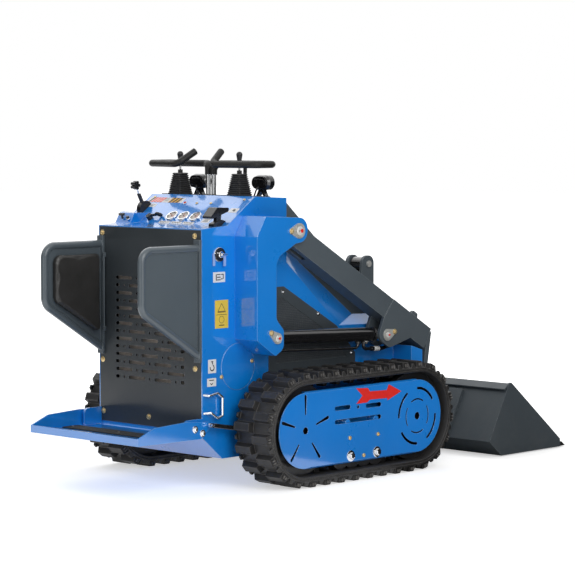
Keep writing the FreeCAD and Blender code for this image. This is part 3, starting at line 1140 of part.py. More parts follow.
def track_frame():
    """Right roller beam between the wheels, with its rollers and two cross tubes to the hull."""
    first = SPROCKET_AHEAD + BELT_INNER + 14
    last = IDLER_AHEAD - BELT_INNER - 14
    half = TRACK_BEAM_WIDTH / 2
    beam = cross_plate([(-TRACK_CENTRE_Y - half, AXLE_Z - 78, 8.0),
                        (-TRACK_CENTRE_Y + half, AXLE_Z - 78, 8.0),
                        (-TRACK_CENTRE_Y + half, AXLE_Z + 92, 8.0),
                        (-TRACK_CENTRE_Y - half, AXLE_Z + 92, 8.0)],
                       first, last)
    pieces = [beam]
    roller_z = AXLE_Z - BELT_INNER + WHEEL_GAP + ROLLER_RADIUS
    step = (last - first) / ROLLER_COUNT
    inner = GUIDE_WIDTH / 2 + GUIDE_GAP + 1
    for index in range(ROLLER_COUNT):
        place = (first + step * (index + 0.5), roller_z)
        pieces.append(rod_y(place, ROLLER_AXLE, -TRACK_CENTRE_Y - inner - 10, -TRACK_CENTRE_Y + inner + 10))
        for low in (-inner - ROLLER_WIDTH, inner):
            pieces.append(rod_y(place, ROLLER_RADIUS, -TRACK_CENTRE_Y + low,
                                -TRACK_CENTRE_Y + low + ROLLER_WIDTH))
        pieces.append(box((place[0] - 10, place[0] + 10), (-TRACK_CENTRE_Y - 22, -TRACK_CENTRE_Y + 22),
                          (roller_z, AXLE_Z - 68)))
    for place in (first + 20, last - 80):
        pieces.append(box((place, place + 60), (-TRACK_CENTRE_Y, -BODY_HALF_WIDTH),
                          (AXLE_Z - 8, AXLE_Z + 52)))
        pieces.append(rod_y((place + 30, AXLE_Z + 7), 14.0, -COVER_FACE_Y + COVER_SHEET, -TRACK_CENTRE_Y))
    return fused(pieces)


def cover_sheet():
    """Right cover before its openings: round-ended sheet with bevelled edges folded in along its length."""
    face = -COVER_FACE_Y
    deep = face + COVER_DEPTH
    inner = COVER_RADIUS - COVER_SHEET
    inner_bevel = COVER_BEVEL - COVER_SHEET * math.tan(math.radians(22.5))
    edge = []
    for half, y, bevel in ((COVER_RADIUS, face, COVER_BEVEL), (inner, face + COVER_SHEET, inner_bevel)):
        ring = [(deep, AXLE_Z + half), (y + bevel, AXLE_Z + half), (y, AXLE_Z + half - bevel),
                (y, AXLE_Z - half + bevel), (y + bevel, AXLE_Z - half), (deep, AXLE_Z - half)]
        edge += ring if half == COVER_RADIUS else ring[::-1]
    pieces = [cross_plate(edge, SPROCKET_AHEAD, IDLER_AHEAD)]
    for place in (SPROCKET_AHEAD, IDLER_AHEAD):
        pieces.append(rod_y((place, AXLE_Z), COVER_RADIUS - COVER_BEVEL / 2, face, face + COVER_SHEET))
    return fused(pieces)


def ring_slot(centre, radius, width, middle_angle, half_angle, y_from, y_to):
    """Curved slot round a centre, with round ends."""
    ring = rod_y(centre, radius + width / 2, y_from, y_to)
    ring = ring.cut(rod_y(centre, radius - width / 2, y_from, y_to))
    reach = 2 * radius
    corners = [centre]
    for turn in (-half_angle, 0.0, half_angle):
        angle = math.radians(middle_angle + turn)
        corners.append(near(centre, reach * math.cos(angle), reach * math.sin(angle)))
    pieces = [ring.common(plate(corners, y_from, y_to))]
    for turn in (-half_angle, half_angle):
        angle = math.radians(middle_angle + turn)
        end = near(centre, radius * math.cos(angle), radius * math.sin(angle))
        pieces.append(rod_y(end, width / 2, y_from, y_to))
    return fused(pieces)


def cover_openings(y_from, y_to):
    """Openings of a cover: holes at both axles, spokes, straight vents and curved slots."""
    rear = (SPROCKET_AHEAD, AXLE_Z)
    front = (IDLER_AHEAD, AXLE_Z)
    tools = [rod_y(rear, COVER_HUB_HOLE, y_from, y_to), rod_y(front, COVER_HUB_HOLE + 1, y_from, y_to)]
    for index in range(COVER_SPOKES):
        angle = math.radians(90.0 + 360.0 * index / COVER_SPOKES)
        ends = []
        for reach, half in ((COVER_SPOKE_FROM, 3.0), (COVER_SPOKE_TO, 6.0)):
            middle = near(rear, reach * math.cos(angle), reach * math.sin(angle))
            across = (-math.sin(angle) * half, math.cos(angle) * half)
            ends.append([near(middle, -across[0], -across[1]), near(middle, across[0], across[1])])
            tools.append(rod_y(middle, half, y_from, y_to))
        tools.append(plate([ends[0][0], ends[1][0], ends[1][1], ends[0][1]], y_from, y_to))
    low, high = COVER_VENT_X
    third = (high - low) / 3
    for first, last, up in ((low, high, 16.0), (low, low + third, 66.0), (high - third, high, 62.0)):
        corners = slot_corners(SPROCKET_AHEAD + first, SPROCKET_AHEAD + last, AXLE_Z + up, 8.0)
        tools.append(plate(corners, y_from, y_to))
    tools.append(rod_y((SPROCKET_AHEAD + (low + high) / 2, AXLE_Z + 62), 6.0, y_from, y_to))
    for index in range(4):
        tools.append(ring_slot(front, COVER_ARC_RADIUS[0], COVER_ARC_WIDTH[0], 90.0 * index, 30.0, y_from,
                               y_to))
        tools.append(ring_slot(front, COVER_ARC_RADIUS[1], COVER_ARC_WIDTH[1], 90.0 * index - 29, 27.0,
                               y_from, y_to))
    return tools


def track_covers():
    """Blue pressed cover over the side of each track."""
    tools = cover_openings(-COVER_FACE_Y - 1, -COVER_FACE_Y + COVER_SHEET + 1)
    return both_sides(cover_sheet().cut(tools))


# ------------------------------------------------------------------ whole model
def all_parts():
    """Every sub-part by its node name."""
    lift_barrel, lift_rod = lift_cylinder()
    tilt_barrel, tilt_rod = tilt_cylinder()
    strut_barrel, strut_rod = platform_strut()
    parts = {
        "main_frame": main_frame(), "rear_panel": rear_panel(), "control_console": control_console(),
        "front_hood": front_hood(), "side_grilles": side_grilles(), "engine_block": engine_block(),
        "tower_pins": tower_pins(), "loader_arms": loader_arms(), "arm_pins": arm_pins(),
        "tilt_barrel": tilt_barrel, "tilt_rod": tilt_rod, "bucket": bucket(), "cutting_edge": cutting_edge(),
        "attach_plate": attach_plate(), "standing_platform": standing_platform(),
        "platform_grip_strips": platform_grip_strips(), "handlebars": handlebars(), "joysticks": joysticks(),
        "gauges": gauges(),
        "console_levers": Part.makeCompound([throttle_lever(), choke_lever(), auxiliary_lever()]),
        "work_lights": work_lights(), "grab_handles": grab_handles(),
        "drive_sprockets": track_wheels(SPROCKET_AHEAD),
        "front_idlers": track_wheels(IDLER_AHEAD), "track_covers": track_covers(),
    }
    pairs = {
        "side_panel": side_panel(), "loader_tower": loader_tower(), "thigh_frame": thigh_frame(),
        "thigh_pad": thigh_pad(), "track_belt": track_belt(), "track_frame": track_frame(),
        "lift_barrel": lift_barrel, "lift_rod": lift_rod, "strut_barrel": strut_barrel,
        "strut_rod": strut_rod,
    }
    for name, shape in pairs.items():
        parts[name + "_right"] = shape
        parts[name + "_left"] = mirrored(shape)
    return parts


def main():
    """Write one STEP file for each sub-part."""
    os.makedirs("parts", exist_ok=True)
    for name, shape in all_parts().items():
        shape.exportStep("parts/" + name + ".step")
        print(name, len(shape.Solids), "solids", shape.isValid(), round(shape.Volume / 1000.0, 1), "cm3")


main()
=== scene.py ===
"""Mini track loader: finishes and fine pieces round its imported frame.

Metres throughout. Places along the machine are distances ahead of the rear
panel, turned into X by spot(). Right-hand pieces are mirrored for the left.
"""
import math

import bmesh
import bpy
from mathutils import Matrix, Vector


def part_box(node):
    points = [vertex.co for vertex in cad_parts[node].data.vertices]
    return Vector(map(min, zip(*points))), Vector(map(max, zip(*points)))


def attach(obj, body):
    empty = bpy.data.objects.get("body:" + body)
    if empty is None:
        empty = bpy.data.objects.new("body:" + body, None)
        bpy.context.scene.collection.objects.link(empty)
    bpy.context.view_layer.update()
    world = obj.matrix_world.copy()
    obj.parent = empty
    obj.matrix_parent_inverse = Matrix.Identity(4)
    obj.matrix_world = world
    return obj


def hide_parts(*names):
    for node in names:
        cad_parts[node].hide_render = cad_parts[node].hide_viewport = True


bl_info = {
    "name": "Mini Track Loader",
    "version": (1, 0, 0),
    "blender": (4, 5, 0),
    "location": "View3D > Sidebar > Track Loader",
    "description": "Finishes and fine pieces of a stand-on mini track loader",
    "category": "Object",
}

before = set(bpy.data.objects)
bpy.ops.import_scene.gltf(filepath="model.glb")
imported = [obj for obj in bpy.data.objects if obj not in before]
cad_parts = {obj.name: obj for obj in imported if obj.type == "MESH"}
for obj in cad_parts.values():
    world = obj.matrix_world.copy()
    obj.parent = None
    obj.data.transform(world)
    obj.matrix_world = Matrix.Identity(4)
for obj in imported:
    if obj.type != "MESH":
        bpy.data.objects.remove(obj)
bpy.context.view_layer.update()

REAR_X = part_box("rear_panel")[0].x
BODY_Y = -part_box("loader_tower_right")[1].y
COVER_Y = -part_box("track_covers")[0].y
BELT_LOW, BELT_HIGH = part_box("track_belt_right")
TRACK_RADIUS = BELT_HIGH.z / 2
SPROCKET_X = BELT_LOW.x + TRACK_RADIUS
IDLER_X = BELT_HIGH.x - TRACK_RADIUS
AXLE_Z = TRACK_RADIUS
LUG_COUNT = 31
SIDES = (("right", -1.0), ("left", 1.0))
FAR = 9.0
# Reach past the axles and half height of each cover region painted near-black as slot shade.
COVER_STEPS = ((0.0, 0.125), (0.060, 0.110), (0.090, 0.090), (0.118, 0.050))


# ------------------------------------------------------------------ properties
def tint(name, description, default):
    """Colour property in scene-linear red, green and blue."""
    return bpy.props.FloatVectorProperty(name=name, description=description, default=default, size=3,
                                         min=0.0, max=1.0, subtype="COLOR")


def size(name, description, default):
    """Length property in metres."""
    return bpy.props.FloatProperty(name=name, description=description, default=default, min=0.0,
                                   unit="LENGTH")


class LoaderColours(bpy.types.PropertyGroup):
    """Colours of the loader's finishes."""
    body_blue: tint("Body blue", "Gloss paint of hull, towers, covers and step", (0.002, 0.228, 0.740))
    arm_grey: tint("Arm grey", "Satin paint of arms, hood, rear panel and bucket", (0.070, 0.088, 0.102))
    fitting_black: tint("Fitting black", "Gloss paint of cylinders and small fittings", (0.008, 0.008, 0.009))
    rubber: tint("Rubber", "Moulded rubber of the tracks", (0.018, 0.0172, 0.017))
    vinyl: tint("Vinyl", "Cover of the thigh pads", (0.028, 0.027, 0.026))
    arrow_red: tint("Arrow red", "Arrows on the track covers", (0.80, 0.018, 0.012))
    label_yellow: tint("Label yellow", "Tall label on each side panel", (0.80, 0.56, 0.05))
    label_white: tint("Label white", "White labels and strips", (0.78, 0.78, 0.78))


class LoaderSizes(bpy.types.PropertyGroup):
    """Sizes of the fine pieces."""
    panel_bolt: size("Panel bolt", "Radius of the rear panel's bolt heads", 0.0068)
    cover_bolt: size("Cover bolt", "Radius of the large bolts on the track covers", 0.0135)
    cover_screw: size("Cover screw", "Radius of the small screws on the track covers", 0.0075)
    lug_height: size("Lug height", "Height of the track's lugs", 0.022)
    lug_groove: size("Lug groove", "Groove between the two rows of lugs", 0.008)
    arrow_length: size("Arrow length", "Length of the arrow on each track cover", 0.252)
    pad_swell: size("Pad swell", "Most that a thigh pad's cover may move while it fills", 0.007)
    mesh_pitch: size("Mesh pitch", "Spacing of the grille's wires", 0.0065)


class StudioSettings(bpy.types.PropertyGroup):
    """Lights of the studio."""
    key_power: bpy.props.FloatProperty(name="Key power", description="Power of the key softbox",
                                       default=130.0, min=0.0, subtype="POWER")
    top_power: bpy.props.FloatProperty(name="Top power", description="Power of the overhead softbox",
                                       default=100.0, min=0.0, subtype="POWER")
    fill_power: bpy.props.FloatProperty(name="Fill power", description="Power of the softbox behind",
                                        default=30.0, min=0.0, subtype="POWER")
    sky: bpy.props.FloatProperty(name="Sky", description="Strength of the even light all round",
                                 default=0.42, min=0.0)


# --------------------------------------------------------------------- places
def spot(ahead, y, z):
    """Point at a distance ahead of the rear panel."""
    return Vector((REAR_X + ahead, y, z))


def facing(point, normal, up=(0.0, 0.0, 1.0)):
    """Matrix that puts a flat piece's X and Y on a surface and its Z along the normal."""
    out = Vector(normal).normalized()
    across = Vector(up).cross(out).normalized()
    matrix = Matrix((across, out.cross(across), out)).transposed().to_4x4()
    matrix.translation = Vector(point)
    return matrix


MIRROR = Matrix.Diagonal((1.0, -1.0, 1.0, 1.0))
RIGHT = (0.0, -1.0, 0.0)
REARWARD = (-1.0, 0.0, 0.0)


# ------------------------------------------------------------- modelling tools
def deselect():
    """Leaves edit mode and deselects everything."""
    if bpy.context.object is not None and bpy.context.object.mode != "OBJECT":
        bpy.ops.object.mode_set(mode="OBJECT")
    bpy.ops.object.select_all(action="DESELECT")


def only(piece):
    """Makes a piece the only selected and active object."""
    deselect()
    piece.select_set(True)
    bpy.context.view_layer.objects.active = piece


def named(name):
    """Names the primitive that was just added, and its mesh."""
    piece = bpy.context.object
    piece.name = name
    piece.data.name = name
    return piece


def pick(piece, test, kind="FACE"):
    """In edit mode, selects the faces, edges or vertices that pass a test."""
    only(piece)
    bpy.ops.object.mode_set(mode="EDIT")
    bpy.ops.mesh.select_mode(type=kind)
    bpy.ops.mesh.select_all(action="DESELECT")
    mesh = bmesh.from_edit_mesh(piece.data)
    for item in {"FACE": mesh.faces, "EDGE": mesh.edges, "VERT": mesh.verts}[kind]:
        item.select_set(bool(test(item)))
    mesh.select_flush_mode()
    bmesh.update_edit_mesh(piece.data)


def upward(face):
    """Whether a face looks straight up."""
    return face.normal.z > 0.99


def done():
    """Goes back to object mode."""
    bpy.ops.object.mode_set(mode="OBJECT")


def shaped(piece, *steps):
    """Works on the faces that look up: steps inset them, move them along Z or pull them out along Z."""
    pick(piece, upward)
    for step, value in steps:
        if step == "inset":
            bpy.ops.mesh.inset(thickness=value)
        elif step == "move":
            bpy.ops.transform.translate(value=(0.0, 0.0, value))
        else:
            bpy.ops.mesh.extrude_region_move(TRANSFORM_OT_translate={"value": (0.0, 0.0, value)})
    done()
    return piece


def applied(piece, kind, **settings):
    """Gives a piece a modifier and applies it."""
    only(piece)
    modifier = piece.modifiers.new(kind, kind)
    for key, value in settings.items():
        setattr(modifier, key, value)
    bpy.ops.object.modifier_apply(modifier=modifier.name)
    return piece


def rounded(piece, width, segments=2, angle=35.0):
    """Bevels a piece's sharp edges."""
    return applied(piece, "BEVEL", width=width, segments=segments, limit_method="ANGLE",
                   angle_limit=math.radians(angle))


def smooth(piece, angle=35.0):
    """Smooth shading below an angle."""
    only(piece)
    bpy.ops.object.shade_smooth_by_angle(angle=math.radians(angle))
    return piece


def bar(radius, depth, vertices=24, low=0.0):
    """Round or many-sided bar on Z, from a height."""
    deselect()
    bpy.ops.mesh.primitive_cylinder_add(vertices=vertices, radius=radius, depth=depth,
                                        location=(0.0, 0.0, low + depth / 2))
    bpy.ops.object.transform_apply()
    return bpy.context.object


def block(low, high):
    """Block between two corners."""
    deselect()
    low, high = Vector(low), Vector(high)
    bpy.ops.mesh.primitive_cube_add(size=1.0, location=(low + high) / 2)
    bpy.context.object.scale = high - low
    bpy.ops.object.transform_apply()
    return bpy.context.object


def cutout(corners, depth, low=0.0):
    """Flat plate of an outline in X and Y, with its thickness along Z."""
    deselect()
    bpy.ops.mesh.primitive_circle_add(vertices=len(corners), radius=1.0, fill_type="NGON")
    piece = bpy.context.object
    bpy.ops.object.mode_set(mode="EDIT")
    mesh = bmesh.from_edit_mesh(piece.data)
    mesh.verts.ensure_lookup_table()
    loop = list(mesh.faces[:][0].verts)
    for vert, corner in zip(loop, corners):
        vert.co = Vector((corner[0], corner[1], low))
    bmesh.update_edit_mesh(piece.data)
    bpy.ops.mesh.select_all(action="SELECT")
    bpy.ops.mesh.extrude_region_move(TRANSFORM_OT_translate={"value": (0.0, 0.0, depth)})
    bpy.ops.mesh.select_all(action="SELECT")
    bpy.ops.mesh.normals_make_consistent(inside=False)
    done()
    return piece


def rounded_outline(corners, radius, steps=4):
    """Outline with each corner replaced by an arc of short runs."""
    points = [Vector(corner) for corner in corners]
    outline = []
    for index, point in enumerate(points):
        before = (points[index - 1] - point).normalized()
        after = (points[(index + 1) % len(points)] - point).normalized()
        half = before.angle(after) / 2
        reach = radius / math.tan(half)
        centre = point + (before + after).normalized() * radius / math.sin(half)
        first, last = point + before * reach - centre, point + after * reach - centre
        for step in range(steps + 1):
            share = step / steps
            outline.append(centre + (first * (1 - share) + last * share).normalized() * radius)
    return outline


def box_outline(width, height, x=0.0, y=0.0):
    """Corners of a rectangle about a middle."""
    return [(x - width / 2, y - height / 2), (x + width / 2, y - height / 2),
            (x + width / 2, y + height / 2), (x - width / 2, y + height / 2)]


def dressed(piece, finish):
    """Gives a piece one finish: its key, or a material."""
    piece.data.materials.clear()
    piece.data.materials.append(FINISH.get(finish, finish))
    return piece


def joined(name, pieces):
    """Joins pieces into one, with its place in its mesh."""
    deselect()
    for piece in pieces:
        piece.select_set(True)
    bpy.context.view_layer.objects.active = pieces[0]
    if len(pieces) > 1:
        bpy.ops.object.join()
    bpy.ops.object.transform_apply()
    return named(name)


def copies(name, master, places):
    """One piece made of a copy of the master at each place. The master is used up."""
    parts = []
    for matrix in places:
        part = master.copy()
        part.data = master.data.copy()
        part.data.transform(matrix)
        if matrix.determinant() < 0:
            part.data.flip_normals()
        bpy.context.scene.collection.objects.link(part)
        parts.append(part)
    bpy.data.objects.remove(master)
    return joined(name, parts)


def on_right(places, face=BODY_Y):
    """Matrices at places (ahead, height) on a face of the right side, turned outward."""
    return [facing(spot(ahead, -face, height), RIGHT) for ahead, height in places]


def both_sides(matrices):
    """The places, and their mirror images on the left."""
    return list(matrices) + [MIRROR @ matrix for matrix in matrices]


def installed(piece, body):
    """Puts a finished piece on its body."""
    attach(piece, body)
    return piece


# ------------------------------------------------------------------- fasteners
def hex_bolt(radius, finish):
    """Hexagon head with a raised middle, on its washer."""
    head = rounded(bar(radius, radius * 0.75, 6, radius * 0.28), radius * 0.12, 2, 80.0)
    shaped(head, ("inset", radius * 0.16), ("move", radius * 0.07))
    washer = rounded(bar(radius * 1.55, radius * 0.28, 28), radius * 0.07)
    smooth(washer)
    return joined("hex_bolt", [dressed(head, finish), dressed(washer, finish)])


def socket_screw(radius, finish):
    """Low round head with a hexagon socket."""
    head = rounded(bar(radius, radius * 0.7, 24), radius * 0.28, 3)
    shaped(head, ("inset", radius * 0.22), ("pull", -radius * 0.4))
    return dressed(smooth(head), finish)


# -------------------------------------------------------------------- finishes
def put(tree, kind, sockets=None, **settings):
    """Adds a node, sets it and fills its sockets with values or links."""
    node = tree.nodes.new("ShaderNode" + kind)
    for key, value in settings.items():
        setattr(node, key, value)
    for key, value in (sockets or {}).items():
        if isinstance(value, bpy.types.NodeSocket):
            tree.links.new(value, node.inputs[key])
        else:
            node.inputs[key].default_value = value
    return node


def surface_point(tree, stretch=(1.0, 1.0, 1.0)):
    """Place on the object, in metres, stretched along each axis."""
    coords = put(tree, "TexCoord")
    return put(tree, "Mapping", {"Vector": coords.outputs["Object"], "Scale": stretch}).outputs[0]


def cloud(tree, scale, detail=3.0, rough=0.55, stretch=(1.0, 1.0, 1.0)):
    """Cloudy pattern from 0 to 1."""
    return put(tree, "TexNoise", {"Vector": surface_point(tree, stretch), "Scale": scale, "Detail": detail,
                                  "Roughness": rough}).outputs[0]


def ranged(tree, value, low, high, to_low=0.0, to_high=1.0):
    """Value moved from one range to another, and held in it."""
    return put(tree, "MapRange", {"Value": value, "From Min": low, "From Max": high, "To Min": to_low,
                                  "To Max": to_high}).outputs[0]


def maths(tree, how, first, second=0.0):
    """One sum of two values."""
    return put(tree, "Math", {0: first, 1: second}, operation=how, use_clamp=(how == "MULTIPLY")).outputs[0]


def blended(tree, share, first, second):
    """Mix of two colours."""
    node = put(tree, "Mix", data_type="RGBA")
    for key, value in ((0, share), (6, first), (7, second)):
        if isinstance(value, bpy.types.NodeSocket):
            tree.links.new(value, node.inputs[key])
        else:
            node.inputs[key].default_value = value if key == 0 else (*value[:3], 1.0)
    return node.outputs[2]


def shade(colour, factor):
    """Colour made darker or lighter."""
    return tuple(min(1.0, channel * factor) for channel in colour[:3])


def tinted(colour, other, share):
    """Colour part of the way to another."""
    return tuple(a * (1 - share) + b * share for a, b in zip(colour[:3], other[:3]))


def edge_mask(tree, radius, reach=0.16):
    """Rounded normal along edges, and how near each point is to an edge."""
    edge = put(tree, "Bevel", {"Radius": radius}, samples=6)
    flat = put(tree, "NewGeometry")
    turn = put(tree, "VectorMath", {0: edge.outputs[0], 1: flat.outputs["Normal"]}, operation="DOT_PRODUCT")
    return edge.outputs[0], ranged(tree, turn.outputs["Value"], 0.995, 1.0 - reach)


def started(name, metallic=0.0, roughness=0.4, ior=1.5):
    """New material with its shader's plain values."""
    material = bpy.data.materials.new(name)
    material.use_nodes = True
    shader = material.node_tree.nodes["Principled BSDF"]
    shader.inputs["Metallic"].default_value = metallic
    shader.inputs["Roughness"].default_value = roughness
    shader.inputs["IOR"].default_value = ior
    return material, material.node_tree, shader


def paint(name, colour, roughness, coat, coat_ior, edge_colour, edge_share, peel=0.02, edge_radius=0.0016):
    """Sprayed paint: slight colour drift, orange peel, paler edges that are partly chipped wear and partly a
    painted edge highlight, and a little dust near the ground.
    """
    material, tree, shader = started(name)
    shader.inputs["Coat Weight"].default_value = coat
    shader.inputs["Coat Roughness"].default_value = 0.045
    shader.inputs["Coat IOR"].default_value = coat_ior
    drift = cloud(tree, 2.6, 4.0)
    body = blended(tree, ranged(tree, drift, 0.3, 0.7), shade(colour, 0.93), shade(colour, 1.06))
    fine = cloud(tree, 60.0, 4.0, 0.65)
    body = blended(tree, ranged(tree, fine, 0.55, 0.8, 0.0, 0.04), body,
                   tinted(colour, (0.5, 0.5, 0.5), 0.25))
    normal, near_edge = edge_mask(tree, edge_radius)
    # Painted edge highlight: near edges the colour is blended toward a paler one, broken up by chip noise so
    # it also reads as wear.
    chips = ranged(tree, cloud(tree, 34.0, 5.0, 0.7), 0.36, 0.6, 0.35, 1.0)
    worn = maths(tree, "MULTIPLY", maths(tree, "MULTIPLY", near_edge, chips), edge_share)
    body = blended(tree, worn, body, edge_colour)
    height = put(tree, "SeparateXYZ", {0: surface_point(tree)}).outputs[2]
    low = ranged(tree, height, 0.34, 0.02)
    dust = maths(tree, "MULTIPLY", low, ranged(tree, cloud(tree, 9.0, 6.0, 0.7), 0.45, 0.75, 0.0, 0.06))
    body = blended(tree, dust, body, (0.33, 0.29, 0.24))
    tree.links.new(body, shader.inputs["Base Color"])
    rough = ranged(tree, cloud(tree, 7.0, 5.0), 0.3, 0.7, roughness * 0.85, roughness * 1.2)
    tree.links.new(maths(tree, "ADD", rough, maths(tree, "MULTIPLY", dust, 0.6)), shader.inputs["Roughness"])
    bump = put(tree, "Bump", {"Strength": peel, "Distance": 0.002, "Height": cloud(tree, 420.0, 2.0),
                              "Normal": normal})
    tree.links.new(bump.outputs[0], shader.inputs["Normal"])
    tree.links.new(bump.outputs[0], shader.inputs["Coat Normal"])
    return material


def metal(name, colour, roughness, brushed=(1.0, 1.0, 1.0), grime=0.12, edge_radius=0.0008, metallic=1.0):
    """Plated or bare metal with fine lines, faint stains and a painted highlight along the edges."""
    material, tree, shader = started(name, metallic, roughness)
    stain = ranged(tree, cloud(tree, 22.0, 5.0, 0.65), 0.42, 0.72, 0.0, grime)
    body = blended(tree, stain, colour, shade(colour, 0.45))
    normal, near_edge = edge_mask(tree, edge_radius)
    # Painted edge highlight: the colour is lifted halfway to white near edges.
    body = blended(tree, maths(tree, "MULTIPLY", near_edge, 0.35), body, tinted(colour, (1, 1, 1), 0.5))
    tree.links.new(body, shader.inputs["Base Color"])
    lines = cloud(tree, 240.0, 3.0, 0.6, brushed)
    tree.links.new(ranged(tree, lines, 0.3, 0.7, roughness * 0.75, roughness * 1.35),
                   shader.inputs["Roughness"])
    bump = put(tree, "Bump", {"Strength": 0.05, "Distance": 0.0006, "Height": lines, "Normal": normal})
    tree.links.new(bump.outputs[0], shader.inputs["Normal"])
    return material


def moulded(name, colour, roughness, grain=900.0, grain_strength=0.12, scuff=0.25, scuff_colour=None,
            edge_radius=0.0012, ior=1.5):
    """Moulded rubber or plastic: fine grain, paler edges that are partly scuffing and partly a painted edge
    highlight, and patchy sheen.
    """
    material, tree, shader = started(name, 0.0, roughness, ior)
    patch = ranged(tree, cloud(tree, 14.0, 5.0, 0.6), 0.3, 0.7)
    body = blended(tree, patch, shade(colour, 0.8), shade(colour, 1.25))
    normal, near_edge = edge_mask(tree, edge_radius, 0.22)
    # Painted edge highlight: near edges the colour is blended toward a paler one, broken up by noise so it
    # also reads as scuffing.
    rub = maths(tree, "MULTIPLY", near_edge, ranged(tree, cloud(tree, 50.0, 5.0, 0.7), 0.35, 0.65, 0.2, 1.0))
    pale = scuff_colour or tinted(colour, (0.35, 0.33, 0.31), 0.5)
    body = blended(tree, maths(tree, "MULTIPLY", rub, scuff), body, pale)
    tree.links.new(body, shader.inputs["Base Color"])
    tree.links.new(ranged(tree, cloud(tree, 30.0, 4.0), 0.3, 0.7, roughness * 0.85,
                          min(1.0, roughness * 1.15)),
                   shader.inputs["Roughness"])
    bump = put(tree, "Bump", {"Strength": grain_strength, "Distance": 0.0008,
                              "Height": cloud(tree, grain, 3.0, 0.6), "Normal": normal})
    tree.links.new(bump.outputs[0], shader.inputs["Normal"])
    return material


def printed(name, colour, roughness=0.42):
    """Label film: slightly mottled colour under a satin face."""
    material, tree, shader = started(name, 0.0, roughness)
    shader.inputs["Coat Weight"].default_value = 0.12
    shader.inputs["Coat Roughness"].default_value = 0.2
    mottle = ranged(tree, cloud(tree, 90.0, 4.0, 0.6), 0.35, 0.7)
    body = blended(tree, mottle, shade(colour, 0.94), shade(colour, 1.03))
    tree.links.new(body, shader.inputs["Base Color"])
    tree.links.new(ranged(tree, cloud(tree, 40.0), 0.3, 0.7, roughness * 0.8, roughness * 1.2),
                   shader.inputs["Roughness"])
    bump = put(tree, "Bump", {"Strength": 0.06, "Distance": 0.0005, "Height": cloud(tree, 700.0, 2.0)})
    tree.links.new(bump.outputs[0], shader.inputs["Normal"])
    return material


def within(tree, low, high):
    """1 where a point on the object lies between two corners, 0 outside."""
    parts = put(tree, "SeparateXYZ", {0: surface_point(tree)})
    result = None
    for axis in range(3):
        for limit, how in ((low[axis], "GREATER_THAN"), (high[axis], "LESS_THAN")):
            inside = maths(tree, how, parts.outputs[axis], limit)
            result = inside if result is None else maths(tree, "MULTIPLY", result, inside)
    return result


def two_part(name, base, other, regions):
    """Finish of a piece made of two materials: the second one shows inside the regions."""
    material = FINISH[base].copy()
    material.name = name
    tree = material.node_tree
    output = next(node for node in tree.nodes if node.type == "OUTPUT_MATERIAL")
    shader = next(node for node in tree.nodes if node.type == "BSDF_PRINCIPLED")
    inside = None
    for low, high in regions:
        region = within(tree, low, high)
        inside = region if inside is None else maths(tree, "MAXIMUM", inside, region)
    made = {}
    source = FINISH[other].node_tree
    for node in source.nodes:
        if node.type == "OUTPUT_MATERIAL":
            continue
        twin = tree.nodes.new(node.bl_idname)
        for key in ("operation", "use_clamp", "data_type", "samples"):
            if hasattr(node, key):
                setattr(twin, key, getattr(node, key))
        for socket, copy in zip(node.inputs, twin.inputs):
            if hasattr(socket, "default_value"):
                copy.default_value = socket.default_value
        made[node.name] = twin
    for link in source.links:
        if link.to_node.name in made and link.from_node.name in made:
            start = made[link.from_node.name].outputs[list(link.from_node.outputs).index(link.from_socket)]
            end = made[link.to_node.name].inputs[list(link.to_node.inputs).index(link.to_socket)]
            tree.links.new(start, end)
    second = next(twin for twin in made.values() if twin.type == "BSDF_PRINCIPLED")
    mix = put(tree, "MixShader", {0: inside, 1: shader.outputs[0], 2: second.outputs[0]})
    tree.links.new(mix.outputs[0], output.inputs[0])
    return material


FINISH = {}


